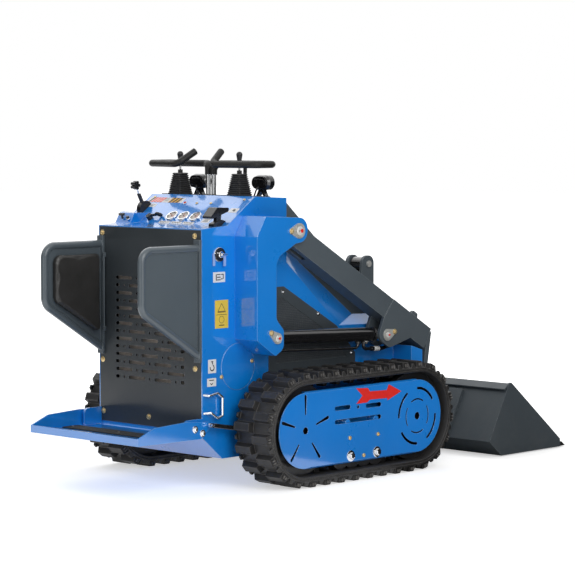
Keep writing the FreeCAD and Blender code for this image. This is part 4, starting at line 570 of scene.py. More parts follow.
def finish_library(colours):
    """Makes every finish once."""
    blue = tuple(colours.body_blue)
    grey = tuple(colours.arm_grey)
    black = tuple(colours.fitting_black)
    rubber = tuple(colours.rubber)
    FINISH.update(
        blue=paint("blue_gloss", blue, 0.30, 1.0, 1.85, tinted(blue, (0.45, 0.70, 1.0), 0.7), 0.85, 0.02,
                   0.0022),
        grey=paint("slate_satin", grey, 0.52, 0.0, 1.5, (0.42, 0.46, 0.48), 0.85, 0.05, 0.0018),
        grey_tube=paint("slate_gloss", shade(grey, 1.22), 0.34, 0.35, 1.5, (0.45, 0.49, 0.51), 0.8, 0.03),
        # Painted shade: the bucket's grey is the arm grey darkened to 0.72 for the weaker light on it.
        grey_bucket=paint("slate_bucket", shade(grey, 0.72), 0.5, 0.0, 1.5, (0.26, 0.30, 0.33), 0.85, 0.05),
        grey_frame=paint("slate_dark", shade(grey, 0.62), 0.5, 0.0, 1.5, (0.24, 0.27, 0.29), 0.7, 0.05),
        # Painted shade: the rear panel's grey is the arm grey darkened to 0.40 for the light on its rear
        # face.
        grey_panel=paint("slate_panel", shade(grey, 0.40), 0.42, 0.3, 1.5, (0.22, 0.25, 0.27), 0.6, 0.06),
        black_gloss=paint("black_gloss", black, 0.22, 0.8, 1.5, (0.16, 0.16, 0.17), 0.5, 0.015, 0.001),
        black_satin=paint("black_satin", shade(black, 1.6), 0.45, 0.1, 1.5, (0.15, 0.15, 0.16), 0.6, 0.06),
        track=moulded("track_rubber", rubber, 0.52, 500.0, 0.22, 0.8, (0.20, 0.19, 0.18), 0.0026),
        # Pale rubber of the lug ribs: a painted highlight.
        scuffed=moulded("scuffed_rubber", (0.15, 0.142, 0.135), 0.5, 700.0, 0.2, 0.5),
        grip=moulded("handle_rubber", (0.014, 0.014, 0.0135), 0.5, 1400.0, 0.10, 0.2, None, 0.0012, 1.36),
        bellows=moulded("bellows_rubber", (0.017, 0.017, 0.018), 0.5, 900.0, 0.1, 0.45),
        plastic=moulded("knob_plastic", (0.012, 0.012, 0.013), 0.26, 1200.0, 0.04, 0.3),
        vinyl=moulded("pad_vinyl", tuple(colours.vinyl), 0.40, 1500.0, 0.16, 0.15),
        chrome=metal("chrome_plate", (0.78, 0.79, 0.80), 0.10, (1.0, 1.0, 0.06), 0.06),
        bright=metal("turned_face", (0.82, 0.82, 0.80), 0.28, (1.0, 1.0, 1.0), 0.05, 0.0008, 0.25),
        tag=printed("blue_tag", (0.30, 0.44, 0.80), 0.3),
        zinc=metal("zinc_plate", (0.60, 0.60, 0.57), 0.34, (0.2, 1.0, 1.0), 0.15, 0.0008, 0.45),
        brass=metal("yellow_zinc", (0.80, 0.62, 0.32), 0.28, (1.0, 1.0, 1.0), 0.15, 0.0008, 0.7),
        steel=metal("scraped_steel", (0.36, 0.36, 0.36), 0.38, (1.0, 0.05, 1.0), 0.5),
        cast=moulded("cast_metal", (0.05, 0.05, 0.052), 0.62, 260.0, 0.35, 0.5),
        white=printed("label_white", tuple(colours.label_white)),
        yellow=printed("label_yellow", tuple(colours.label_yellow)),
        # Near-black print colour, also used as painted shade behind the grilles and in the cover slot walls.
        ink=printed("label_ink", (0.012, 0.012, 0.013), 0.5),
        red=printed("arrow_red", tuple(colours.arrow_red), 0.36),
        amber=printed("stripe_yellow", (0.75, 0.38, 0.02)),
        fins=moulded("radiator_fins", (0.80, 0.72, 0.66), 0.5, 900.0, 0.1, 0.5, (0.92, 0.88, 0.84), 0.0008),
        dial=printed("dial_face", (0.46, 0.41, 0.36), 0.4),
        grit=moulded("grip_tape", (0.016, 0.017, 0.019), 0.85, 1600.0, 0.9, 0.3, None, 0.001),
        wire=moulded("mesh_wire", (0.055, 0.062, 0.070), 0.45, 900.0, 0.1, 0.5),
        lens=clear_lens("lamp_lens"),
        red_lamp=printed("lamp_red", (0.55, 0.01, 0.01), 0.18),
    )


def clear_lens(name):
    """Ribbed clear lens: its pale banded colour is a painted reflection of a bright reflector behind it."""
    material, tree, shader = started(name, 0.0, 0.08, 1.5)
    shader.inputs["Coat Weight"].default_value = 1.0
    shader.inputs["Coat Roughness"].default_value = 0.03
    ribs = put(tree, "TexWave", {"Vector": surface_point(tree), "Scale": 45.0, "Distortion": 0.2},
               wave_type="BANDS", bands_direction="Y").outputs[1]
    # Painted reflection: pale and darker bands stand for the reflector seen through the ribs.
    body = blended(tree, ribs, (0.50, 0.53, 0.56), (0.80, 0.83, 0.86))
    tree.links.new(body, shader.inputs["Base Color"])
    bump = put(tree, "Bump", {"Strength": 0.5, "Distance": 0.002, "Height": ribs})
    tree.links.new(bump.outputs[0], shader.inputs["Normal"])
    return material


# ------------------------------------------------------------------- operators
def seen_rays(tree):
    """1 for camera, glossy and transmission rays, 0 for the rest."""
    rays = put(tree, "LightPath").outputs
    seen = maths(tree, "MAXIMUM", rays["Is Camera Ray"], rays["Is Glossy Ray"])
    return maths(tree, "MAXIMUM", seen, rays["Is Transmission Ray"])


class LOADER_OT_stage(bpy.types.Operator):
    """Sets up the floor, the soft lights, the background and the camera."""
    bl_idname = "loader.stage"
    bl_label = "Studio Stage"

    def execute(self, context):
        scene = context.scene
        studio = scene.loader_studio
        scene.view_settings.view_transform = "Standard"
        self.floor()
        self.flags()
        self.sky(scene, studio.sky)
        self.softbox("key_softbox", (-2.2, -4.6, 3.2), (0.0, -0.3, 0.5), 3.4, studio.key_power)
        self.softbox("top_softbox", (0.7, 2.4, 4.4), (0.0, 0.0, 0.5), 5.6, studio.top_power)
        self.softbox("rear_softbox", (-5.2, 1.2, 2.2), (0.0, 0.0, 0.6), 2.6, studio.fill_power)
        self.camera(scene)
        return {"FINISHED"}

    def floor(self):
        """Wide pale floor that keeps the soft shadow."""
        deselect()
        bpy.ops.mesh.primitive_plane_add(size=60.0, location=(0.0, 0.0, -0.0005))
        floor = named("studio_floor")
        material, tree, shader = started("studio_floor", 0.0, 0.9)
        shader.inputs["Specular IOR Level"].default_value = 0.0
        tone = ranged(tree, cloud(tree, 1.5, 2.0), 0.3, 0.7, 0.88, 0.90)
        tree.links.new(put(tree, "CombineColor", {0: tone, 1: tone, 2: tone}).outputs[0],
                       shader.inputs["Base Color"])
        shown = seen_rays(tree)
        away = put(tree, "VectorMath", {0: surface_point(tree)}, operation="LENGTH").outputs["Value"]
        level = maths(tree, "MULTIPLY", shown, ranged(tree, away, 1.1, 3.2, 0.50, 1.0))
        glow = put(tree, "Emission", {"Color": (1.0, 1.0, 1.0, 1.0), "Strength": level})
        both = put(tree, "AddShader", {0: shader.outputs[0], 1: glow.outputs[0]})
        output = next(node for node in tree.nodes if node.type == "OUTPUT_MATERIAL")
        tree.links.new(both.outputs[0], output.inputs[0])
        dressed(floor, material)

    def flags(self):
        """Dark curved cards, seen only in reflections: ahead on the right, behind on the left, and behind."""
        material, tree, shader = started("studio_card", 0.0, 1.0)
        shader.inputs["Specular IOR Level"].default_value = 0.0
        tone = ranged(tree, cloud(tree, 0.6, 2.0), 0.3, 0.7, 0.010, 0.02)
        tree.links.new(put(tree, "CombineColor", {0: tone, 1: tone, 2: tone}).outputs[0],
                       shader.inputs["Base Color"])
        for name, radius, height, middle, half, floor in (("front_card", 2.5, 1.75, -41.0, 42.0, True),
                                                          ("rear_card", 4.0, 2.4, 137.0, 42.0, False),
                                                          ("back_card", 4.0, 2.4, 223.0, 14.0, False)):
            card = joined(name, [bar(radius, height, 72, 0.001)])
            way = Vector((math.cos(math.radians(middle)), math.sin(math.radians(middle))))
            if floor:
                pick(card, lambda f: f.normal.z < -0.9)
                bpy.ops.mesh.poke()
                done()
            pick(card, lambda f: f.normal.z > 0.9 or (f.normal.z < -0.9 and not floor) or
                 f.calc_center_median().to_2d().normalized().dot(way) < math.cos(math.radians(half)))
            bpy.ops.mesh.delete(type="FACE")
            done()
            dressed(card, material)
            for ray in ("camera", "diffuse", "shadow", "transmission"):
                setattr(card, "visible_" + ray, False)

    def sky(self, scene, strength):
        """White background, with a softer even light on the object."""
        world = bpy.data.worlds.new("studio_sky")
        scene.world = world
        world.use_nodes = True
        tree = world.node_tree
        shown = seen_rays(tree)
        level = ranged(tree, shown, 0.0, 1.0, strength, 1.0)
        back = tree.nodes["Background"]
        back.inputs["Color"].default_value = (1.0, 1.0, 1.0, 1.0)
        tree.links.new(level, back.inputs["Strength"])

    def softbox(self, name, place, target, width, power):
        """Square area light aimed at a point."""
        lamp = bpy.data.lights.new(name, "AREA")
        lamp.shape = "SQUARE"
        lamp.size = width
        lamp.energy = power
        holder = bpy.data.objects.new(name, lamp)
        bpy.context.scene.collection.objects.link(holder)
        holder.location = place
        holder.visible_camera = False
        holder.rotation_euler = (Vector(target) - Vector(place)).to_track_quat("-Z", "Y").to_euler()

    def camera(self, scene):
        """Camera behind and to the right of the machine, at handle height."""
        lens = bpy.data.cameras.new("camera")
        holder = bpy.data.objects.new("camera", lens)
        scene.collection.objects.link(holder)
        lens.sensor_width = 36.0
        lens.lens = 147.6
        lens.clip_end = 100.0
        holder.location = (-6.5848, -6.2438, 1.30)
        holder.rotation_euler = (math.radians(90.0 - 3.916), 0.0, math.radians(43.682 - 90.0))
        scene.camera = holder


class LOADER_OT_finishes(bpy.types.Operator):
    """Gives each solid of the frame its paint, metal, rubber or plastic."""
    bl_idname = "loader.finishes"
    bl_label = "Frame Finishes"

    def execute(self, context):
        finish_library(context.scene.loader_colours)
        plain = {
            "blue": ("main_frame", "side_panel_right", "side_panel_left", "control_console",
                     "loader_tower_right", "loader_tower_left", "standing_platform"),
            "grey_bucket": ("bucket", "attach_plate"),
            "grey": ("front_hood", "loader_arms"),
            "grey_tube": ("thigh_frame_right", "thigh_frame_left"),
            "grey_panel": ("rear_panel",),
            "black_gloss": ("tilt_barrel", "strut_barrel_right", "strut_barrel_left", "work_lights",
                            "lift_barrel_right", "lift_barrel_left"),
            "black_satin": ("drive_sprockets", "front_idlers"),
            "grit": ("platform_grip_strips",),
            "chrome": ("lift_rod_right", "lift_rod_left", "tilt_rod", "strut_rod_right", "strut_rod_left",
                       "grab_handles", "gauges"),
            "zinc": ("tower_pins", "arm_pins"),
            "steel": ("cutting_edge",),
            "cast": ("engine_block",),
            "track": ("track_belt_right", "track_belt_left"),
            "vinyl": ("thigh_pad_right", "thigh_pad_left"),
        }
        for finish, nodes in plain.items():
            for node in nodes:
                dressed(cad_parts[node], finish)
        self.handles()
        self.levers()
        self.recesses()
        return {"FINISHED"}

    def recesses(self):
        """Painted shade: near-black on the sheet behind the grilles and on the slot walls of the covers; and
        black rollers of the track frames.
        """
        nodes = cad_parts
        # Painted shade: the sheet inside the grille frame is near-black, standing for the dark behind the
        # wire.
        sheet = [((-FAR, 0.0015 - BODY_Y, -FAR), (FAR, BODY_Y - 0.0015, FAR))]
        dressed(nodes["side_grilles"], two_part("grille_finish", "grey_frame", "ink", sheet))
        # Painted shade: cover surfaces deeper than the face, round the axles, are near-black as slot shade.
        slots = [((SPROCKET_X - out, 0.0012 - COVER_Y, AXLE_Z - half),
                  (IDLER_X + out, COVER_Y - 0.0012, AXLE_Z + half))
                 for out, half in COVER_STEPS]
        dressed(nodes["track_covers"], two_part("cover_finish", "blue", "ink", slots))
        low = [((-FAR, -FAR, -FAR), (FAR, FAR, 0.135))]
        for side in ("right", "left"):
            dressed(nodes["track_frame_" + side],
                    two_part("track_frame_" + side, "blue", "black_satin", low))

    def handles(self):
        """Chrome posts below the handles' rubber."""
        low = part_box("handlebars")[0]
        posts = [(spot(0.29, -0.030, low.z - 0.01), spot(0.34, 0.030, 1.122))]
        dressed(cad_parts["handlebars"], two_part("handle_finish", "grip", "chrome", posts))

    def levers(self):
        """Chrome stems between bellows and knob, and on the throttle."""
        stems = [(spot(0.28, -0.18, 1.140), spot(0.33, 0.18, 1.172))]
        dressed(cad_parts["joysticks"], two_part("joystick_finish", "bellows", "chrome", stems))
        stem = [(spot(0.10, 0.22, 1.0495), spot(0.20, 0.25, 1.064)),
                (spot(0.10, -0.25, 0.930), spot(0.16, -0.2431, 0.96))]
        dressed(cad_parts["console_levers"], two_part("lever_finish", "plastic", "chrome", stem))


# ------------------------------------------------------------- plates and tubes
def traced(corners):
    """Closed line of edges through points."""
    deselect()
    bpy.ops.mesh.primitive_circle_add(vertices=len(corners), radius=1.0, fill_type="NOTHING")
    piece = bpy.context.object
    for vert, corner in zip(piece.data.vertices, corners):
        vert.co = corner
    return piece


def plate_on(corners, depth, finish, low=0.0, bevel=0.0, matrix=Matrix()):
    """Flat plate of one finish, laid on a surface."""
    piece = cutout(corners, depth, low)
    if bevel:
        rounded(piece, bevel, 2, 50.0)
    piece.data.transform(matrix)
    return dressed(piece, finish)


def round_on(radius, depth, finish, low=0.0, vertices=28, bevel=0.2, matrix=Matrix()):
    """Round piece of one finish with a rounded rim, laid on a surface."""
    piece = rounded(bar(radius, depth, vertices, low), min(radius, depth) * bevel, 2, 50.0)
    piece.data.transform(matrix)
    return dressed(smooth(piece), finish)


def tube_along(points, radius, finish):
    """Round tube along a smooth line."""
    deselect()
    line = bpy.data.curves.new("tube", "CURVE")
    line.dimensions = "3D"
    line.resolution_u = 8
    line.bevel_depth = radius
    line.bevel_resolution = 3
    line.use_fill_caps = True
    run = line.splines.new("NURBS")
    run.points.add(len(points) - 1)
    for point, place in zip(run.points, points):
        point.co = (*place, 1.0)
    run.order_u = 3
    run.use_endpoint_u = True
    piece = bpy.data.objects.new("tube", line)
    bpy.context.scene.collection.objects.link(piece)
    only(piece)
    bpy.ops.object.convert(target="MESH")
    return dressed(smooth(bpy.context.object, 50.0), finish)


def on_line(start, end, share=0.0, reach=0.0):
    """Matrix at a place along a line, with Z along it."""
    start, end = Vector(start), Vector(end)
    way = (end - start).normalized()
    return facing(start.lerp(end, share) + way * reach, way, (0.0, 1.0, 0.0))


def round_track(share, radius, y):
    """Matrix at a share of the way round a track: X along it and Z outward."""
    base, turn = IDLER_X - SPROCKET_X, math.pi * radius
    distance = (share % 1.0) * 2 * (base + turn)
    x, angle = SPROCKET_X + distance, math.pi / 2
    if distance >= base:
        x, angle = IDLER_X, math.pi / 2 - min(distance - base, turn) / radius
    if distance >= base + turn:
        x = IDLER_X - min(distance - base - turn, base)
    if distance >= 2 * base + turn:
        angle = -math.pi / 2 - (distance - 2 * base - turn) / radius
    out = Vector((math.cos(angle), 0.0, math.sin(angle)))
    along = Vector((math.sin(angle), 0.0, -math.cos(angle)))
    matrix = Matrix((along, out.cross(along), out)).transposed().to_4x4()
    matrix.translation = Vector((x, y, AXLE_Z)) + out * radius
    return matrix


# ---------------------------------------------------------------------- tracks
class LOADER_OT_tracks(bpy.types.Operator):
    """Makes both rubber tracks: belt, staggered lugs, edge ribs and guide teeth."""
    bl_idname = "loader.tracks"
    bl_label = "Rubber Tracks"

    def execute(self, context):
        sizes = context.scene.loader_sizes
        right = self.track(sizes.lug_height, sizes.lug_groove / 2)
        left = copies("track_tread_left", right.copy(), [MIRROR])
        for piece, side in ((right, "right"), (left, "left")):
            installed(piece, "chassis")
            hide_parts("track_belt_" + side)
        return {"FINISHED"}

    def track(self, height, groove):
        """The right track."""
        half, centre = (BELT_HIGH.y - BELT_LOW.y) / 2, (BELT_HIGH.y + BELT_LOW.y) / 2
        outer = TRACK_RADIUS - height
        inner = outer - 0.020
        width = half - groove
        rows = [(0.0, centre - groove - width / 2, False), (0.5, centre + groove + width / 2, True)]
        parts = [self.belt(centre, half, outer, inner)]
        for phase, y, turned in rows:
            flip = Matrix.Rotation(math.pi, 4, "Z") if turned else Matrix()
            places = [round_track((index + phase) / LUG_COUNT, outer, y) @ flip for index in range(LUG_COUNT)]
            parts.append(copies("lugs", self.lug(width / 2, height), places))
            edge = centre + half if turned else centre - half
            places = [round_track((index + phase + 0.5) / LUG_COUNT, outer, edge) @ flip
                      for index in range(LUG_COUNT)]
            parts.append(copies("ribs", self.rib(height), places))
        places = [round_track((index + 0.25) / LUG_COUNT, inner, centre) for index in range(LUG_COUNT)]
        parts.append(copies("guides", self.guide(), places))
        return joined("track_tread_right", parts)

    def belt(self, centre, half, outer, inner):
        """Belt with a rim line round each side: one outline turned round both wheels."""
        mid = (outer + inner) / 2
        side = [(-half + 0.004, outer), (-half, outer - 0.003), (-half, mid + 0.003),
                (-half + 0.0022, mid + 0.002),
                (-half + 0.0022, mid - 0.001), (-half, mid - 0.002), (-half, inner + 0.003),
                (-half + 0.004, inner)]
        outline = side + [(-y, radius) for y, radius in reversed(side)]
        piece = traced([(SPROCKET_X, centre + y, AXLE_Z + radius) for y, radius in outline])
        pick(piece, lambda vert: True, "VERT")
        base = IDLER_X - SPROCKET_X
        for x, way in ((SPROCKET_X, 1.0), (IDLER_X, -1.0)):
            bpy.ops.mesh.spin(steps=26, angle=math.pi, center=(x, 0.0, AXLE_Z), axis=(0.0, 1.0, 0.0))
            bpy.ops.mesh.extrude_region_move(TRANSFORM_OT_translate={"value": (way * base, 0.0, 0.0)})
        bpy.ops.mesh.select_all(action="SELECT")
        bpy.ops.mesh.remove_doubles(threshold=0.0002)
        bpy.ops.mesh.normals_make_consistent(inside=False)
        done()
        return dressed(smooth(piece, 40.0), "track")

    def lug(self, half, height):
        """Tapered lug with a sloped, pocketed end and two ribs in the pocket, whose pale rubber is a painted
        highlight.
        """
        lug = block((-0.020, -half, -0.004), (0.020, half, height))
        pick(lug, upward)
        bpy.ops.transform.resize(value=(0.725, 0.86, 1.0))
        bpy.ops.transform.translate(value=(0.0, half * 0.05, 0.0))
        bpy.ops.mesh.inset(thickness=0.0045)
        bpy.ops.transform.translate(value=(0.0, 0.0, -0.0022))
        done()
        pick(lug, lambda f: f.normal.y < -0.8)
        bpy.ops.mesh.inset(thickness=0.0045)
        bpy.ops.transform.translate(value=(0.0, 0.005, 0.0))
        done()
        rounded(lug, 0.0011, 1, 30.0)
        # Painted highlight: the two ribs are pale rubber standing for bright slits in the lug's dark end.
        slits = [block((x - 0.0012, -half + 0.0008, 0.005), (x + 0.0012, -half + 0.006, height - 0.007))
                 for x in (-0.005, 0.005)]
        return joined("lug", [dressed(lug, "track")] + [dressed(slit, "scuffed") for slit in slits])

    def rib(self, height):
        """Wedge that stiffens the belt's edge between two lugs."""
        rib = block((-0.013, 0.0, -0.003), (0.013, 0.014, height * 0.62))
        pick(rib, upward)
        bpy.ops.transform.resize(value=(0.5, 0.6, 1.0))
        bpy.ops.transform.translate(value=(0.0, 0.0015, 0.0))
        done()
        return dressed(rounded(rib, 0.001, 1, 30.0), "track")

    def guide(self):
        """Tooth on the inside of the belt."""
        tooth = block((-0.015, -0.021, -0.022), (0.015, 0.021, 0.002))
        pick(tooth, lambda f: f.normal.z < -0.9)
        bpy.ops.transform.resize(value=(0.6, 0.85, 1.0))
        done()
        return dressed(rounded(tooth, 0.0015, 1, 30.0), "track")


# ------------------------------------------------------------------ thigh pads
class LOADER_OT_thigh_pads(bpy.types.Operator):
    """Fills the two thigh pads as stuffed vinyl cushions, with a sewn edge."""
    bl_idname = "loader.thigh_pads"
    bl_label = "Thigh Pads"

    def execute(self, context):
        swell = context.scene.loader_sizes.pad_swell
        for side in ("right", "left"):
            pad = self.cushion("thigh_cushion_" + side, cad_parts["thigh_pad_" + side], swell)
            installed(pad, "chassis")
            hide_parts("thigh_pad_" + side)
        return {"FINISHED"}

    def cushion(self, name, node, swell):
        """Cushion that starts a little smaller than its solid and is blown up by cloth simulation."""
        pad = bpy.data.objects.new(name, node.data.copy())
        bpy.context.scene.collection.objects.link(pad)
        pick(pad, lambda vert: True, "VERT")
        bpy.ops.mesh.remove_doubles(threshold=0.0001)
        done()
        middle = sum((Vector(corner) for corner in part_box(node.name)), Vector()) / 2
        shrink = Matrix.Diagonal((0.985, 0.72, 0.985, 1.0))
        pad.data.transform(Matrix.Translation(middle) @ shrink @ Matrix.Translation(-middle))
        applied(pad, "REMESH", mode="VOXEL", voxel_size=0.005)
        self.inflate(pad, swell)
        self.sew(pad, middle)
        applied(pad, "SUBSURF", levels=1, render_levels=1)
        bpy.ops.object.shade_smooth()
        return dressed(pad, "vinyl")

    def inflate(self, pad, swell):
        """Blows the cushion up, and keeps each point within the swell of where it began."""
        scene = bpy.context.scene
        rest = [vert.co.copy() for vert in pad.data.vertices]
        cloth = pad.modifiers.new("Cloth", "CLOTH")
        cloth.settings.use_pressure = True
        cloth.settings.uniform_pressure_force = 4.0
        cloth.settings.effector_weights.gravity = 0.0
        cloth.point_cache.frame_start = 1
        cloth.point_cache.frame_end = 20
        for step in range(1, 21):
            scene.frame_set(step)
        shape = pad.evaluated_get(bpy.context.evaluated_depsgraph_get()).to_mesh()
        blown = [vert.co.copy() for vert in shape.vertices]
        pad.modifiers.remove(cloth)
        for vert, start, end in zip(pad.data.vertices, rest, blown):
            move = end - start
            if move.length > swell:
                move *= swell / move.length
            vert.co = start + move
        scene.frame_set(1)

    def sew(self, pad, middle):
        """Pulls a narrow seam in round the pad's rim, and keeps its faces inside the solid's depth."""
        seam, depth = 0.0022, 0.0135
        for vert in pad.data.vertices:
            off = vert.co.y - middle.y
            if abs(off) < seam:
                inward = (Vector((middle.x, vert.co.y, middle.z)) - vert.co).normalized()
                vert.co += inward * seam * (1 - abs(off) / seam)
            vert.co.y = middle.y + max(-depth, min(depth, off))


# ---------------------------------------------------------------- track covers
class LOADER_OT_cover_fittings(bpy.types.Operator):
    """Makes the arrows, large bolts and small screws of the track covers."""
    bl_idname = "loader.cover_fittings"
    bl_label = "Cover Fittings"

    def execute(self, context):
        sizes = context.scene.loader_sizes
        outline = [(0.585, 0.340), (0.651, 0.336), (0.662, 0.3225), (0.758, 0.320), (0.7695, 0.3405),
                   (0.841, 0.309), (0.762, 0.281), (0.760, 0.290), (0.662, 0.292), (0.647, 0.283),
                   (0.5865, 0.282), (0.620, 0.310)]
        stretch = sizes.arrow_length / 0.256
        outline = [(REAR_X + 0.585 + (x - 0.585) * stretch, z) for x, z in reversed(outline)]
        face = facing((0.0, -COVER_Y, 0.0), RIGHT)
        arrow = plate_on(outline, 0.0008, "red", 0.0, 0.0002, face)
        other = copies("cover_arrow_left", arrow.copy(), [MIRROR])
        for piece in (joined("cover_arrow_right", [arrow]), other):
            installed(piece, "chassis")
        places = on_right(((0.557, 0.093), (0.701, 0.094)), COVER_Y - 0.0025)
        bolts = copies("cover_bolts", hex_bolt(sizes.cover_bolt, "chrome"), both_sides(places))
        installed(bolts, "chassis")
        places = on_right(((0.550, 0.160), (0.705, 0.160), (0.626, 0.089)), COVER_Y)
        screws = copies("cover_screws", socket_screw(sizes.cover_screw, "brass"),
                        both_sides(places))
        installed(screws, "chassis")
        return {"FINISHED"}


# ------------------------------------------------------------------ rear panel
class LOADER_OT_rear_fittings(bpy.types.Operator):
    """Makes the rear panel's bolts, and the radiator and shroud behind its slots."""
    bl_idname = "loader.rear_fittings"
    bl_label = "Rear Panel Fittings"

    def execute(self, context):
        radius = context.scene.loader_sizes.panel_bolt
        holes = ((0.252, 0.909), (-0.237, 0.911), (0.252, 0.440), (-0.238, 0.438), (0.250, 0.248),
                 (0.005, 0.246))
        places = [facing((REAR_X, y, z), REARWARD) for y, z in holes]
        bolts = copies("rear_panel_bolts", hex_bolt(radius, "brass"), places)
        installed(bolts, "chassis")
        self.radiator()
        self.shroud()
        return {"FINISHED"}

    def radiator(self):
        """Core of upright fins between flat tubes, with a rounded tank above and below."""
        low, high, half = 0.372, 0.760, 0.190
        fin = block((-0.006, -0.0011, low), (0.0, 0.0011, high))
        pick(fin, lambda e: abs(e.verts[0].co.z - e.verts[1].co.z) > 0.1 and e.verts[0].co.x < -0.005, "EDGE")
        bpy.ops.mesh.bevel(offset=0.0003, segments=1)
        done()
        fin_count, tube_count = 54, 28
        places = [Matrix.Translation(spot(0.026, -half + 2 * half * (index + 0.5) / fin_count, 0.0))
                  for index in range(fin_count)]
        fins = copies("fins", fin, places)
        tube = rounded(block((-0.002, -half, -0.0016), (0.012, half, 0.0016)), 0.0008, 1)
        places = [Matrix.Translation(spot(0.032, 0.0, low + (high - low) * (index + 0.5) / tube_count))
                  for index in range(tube_count)]
        tubes = copies("tubes", tube, places)
        back = rounded(block(spot(0.050, -half, low), spot(0.057, half, high)), 0.002)
        parts = [dressed(fins, "fins"), dressed(tubes, "ink"), dressed(back, "ink")]
        for z in (low - 0.022, high):
            tank = block(spot(0.024, -half - 0.006, z), spot(0.058, half + 0.006, z + 0.022))
            parts.append(dressed(smooth(rounded(tank, 0.006, 3)), "black_satin"))
        installed(joined("radiator_core", parts), "chassis")

    def shroud(self):
        """Dark box behind the panel that the radiator stands in."""
        shroud = block(spot(0.006, -0.214, 0.330), spot(0.064, 0.214, 0.800))
        pick(shroud, lambda f: f.normal.x < -0.9)
        bpy.ops.mesh.inset(thickness=0.006)
        bpy.ops.mesh.extrude_region_move(TRANSFORM_OT_translate={"value": (0.054, 0.0, 0.0)})
        done()
        dressed(rounded(shroud, 0.001), "ink")
        installed(joined("radiator_shroud", [shroud]), "chassis")


# --------------------------------------------------------------------- console
SLOPE_FOOT, SLOPE_LOW, SLOPE_RUN, SLOPE_RISE = 0.128, 0.945, 0.142, 0.101


def on_slope(ahead, y, lift=0.0):
    """Matrix on the console's sloping face, with Y up the slope and X to the left."""
    normal = Vector((-SLOPE_RISE, 0.0, SLOPE_RUN)).normalized()
    point = spot(ahead, y, SLOPE_LOW + (ahead - SLOPE_FOOT) * SLOPE_RISE / SLOPE_RUN) + normal * lift
    return facing(point, normal)


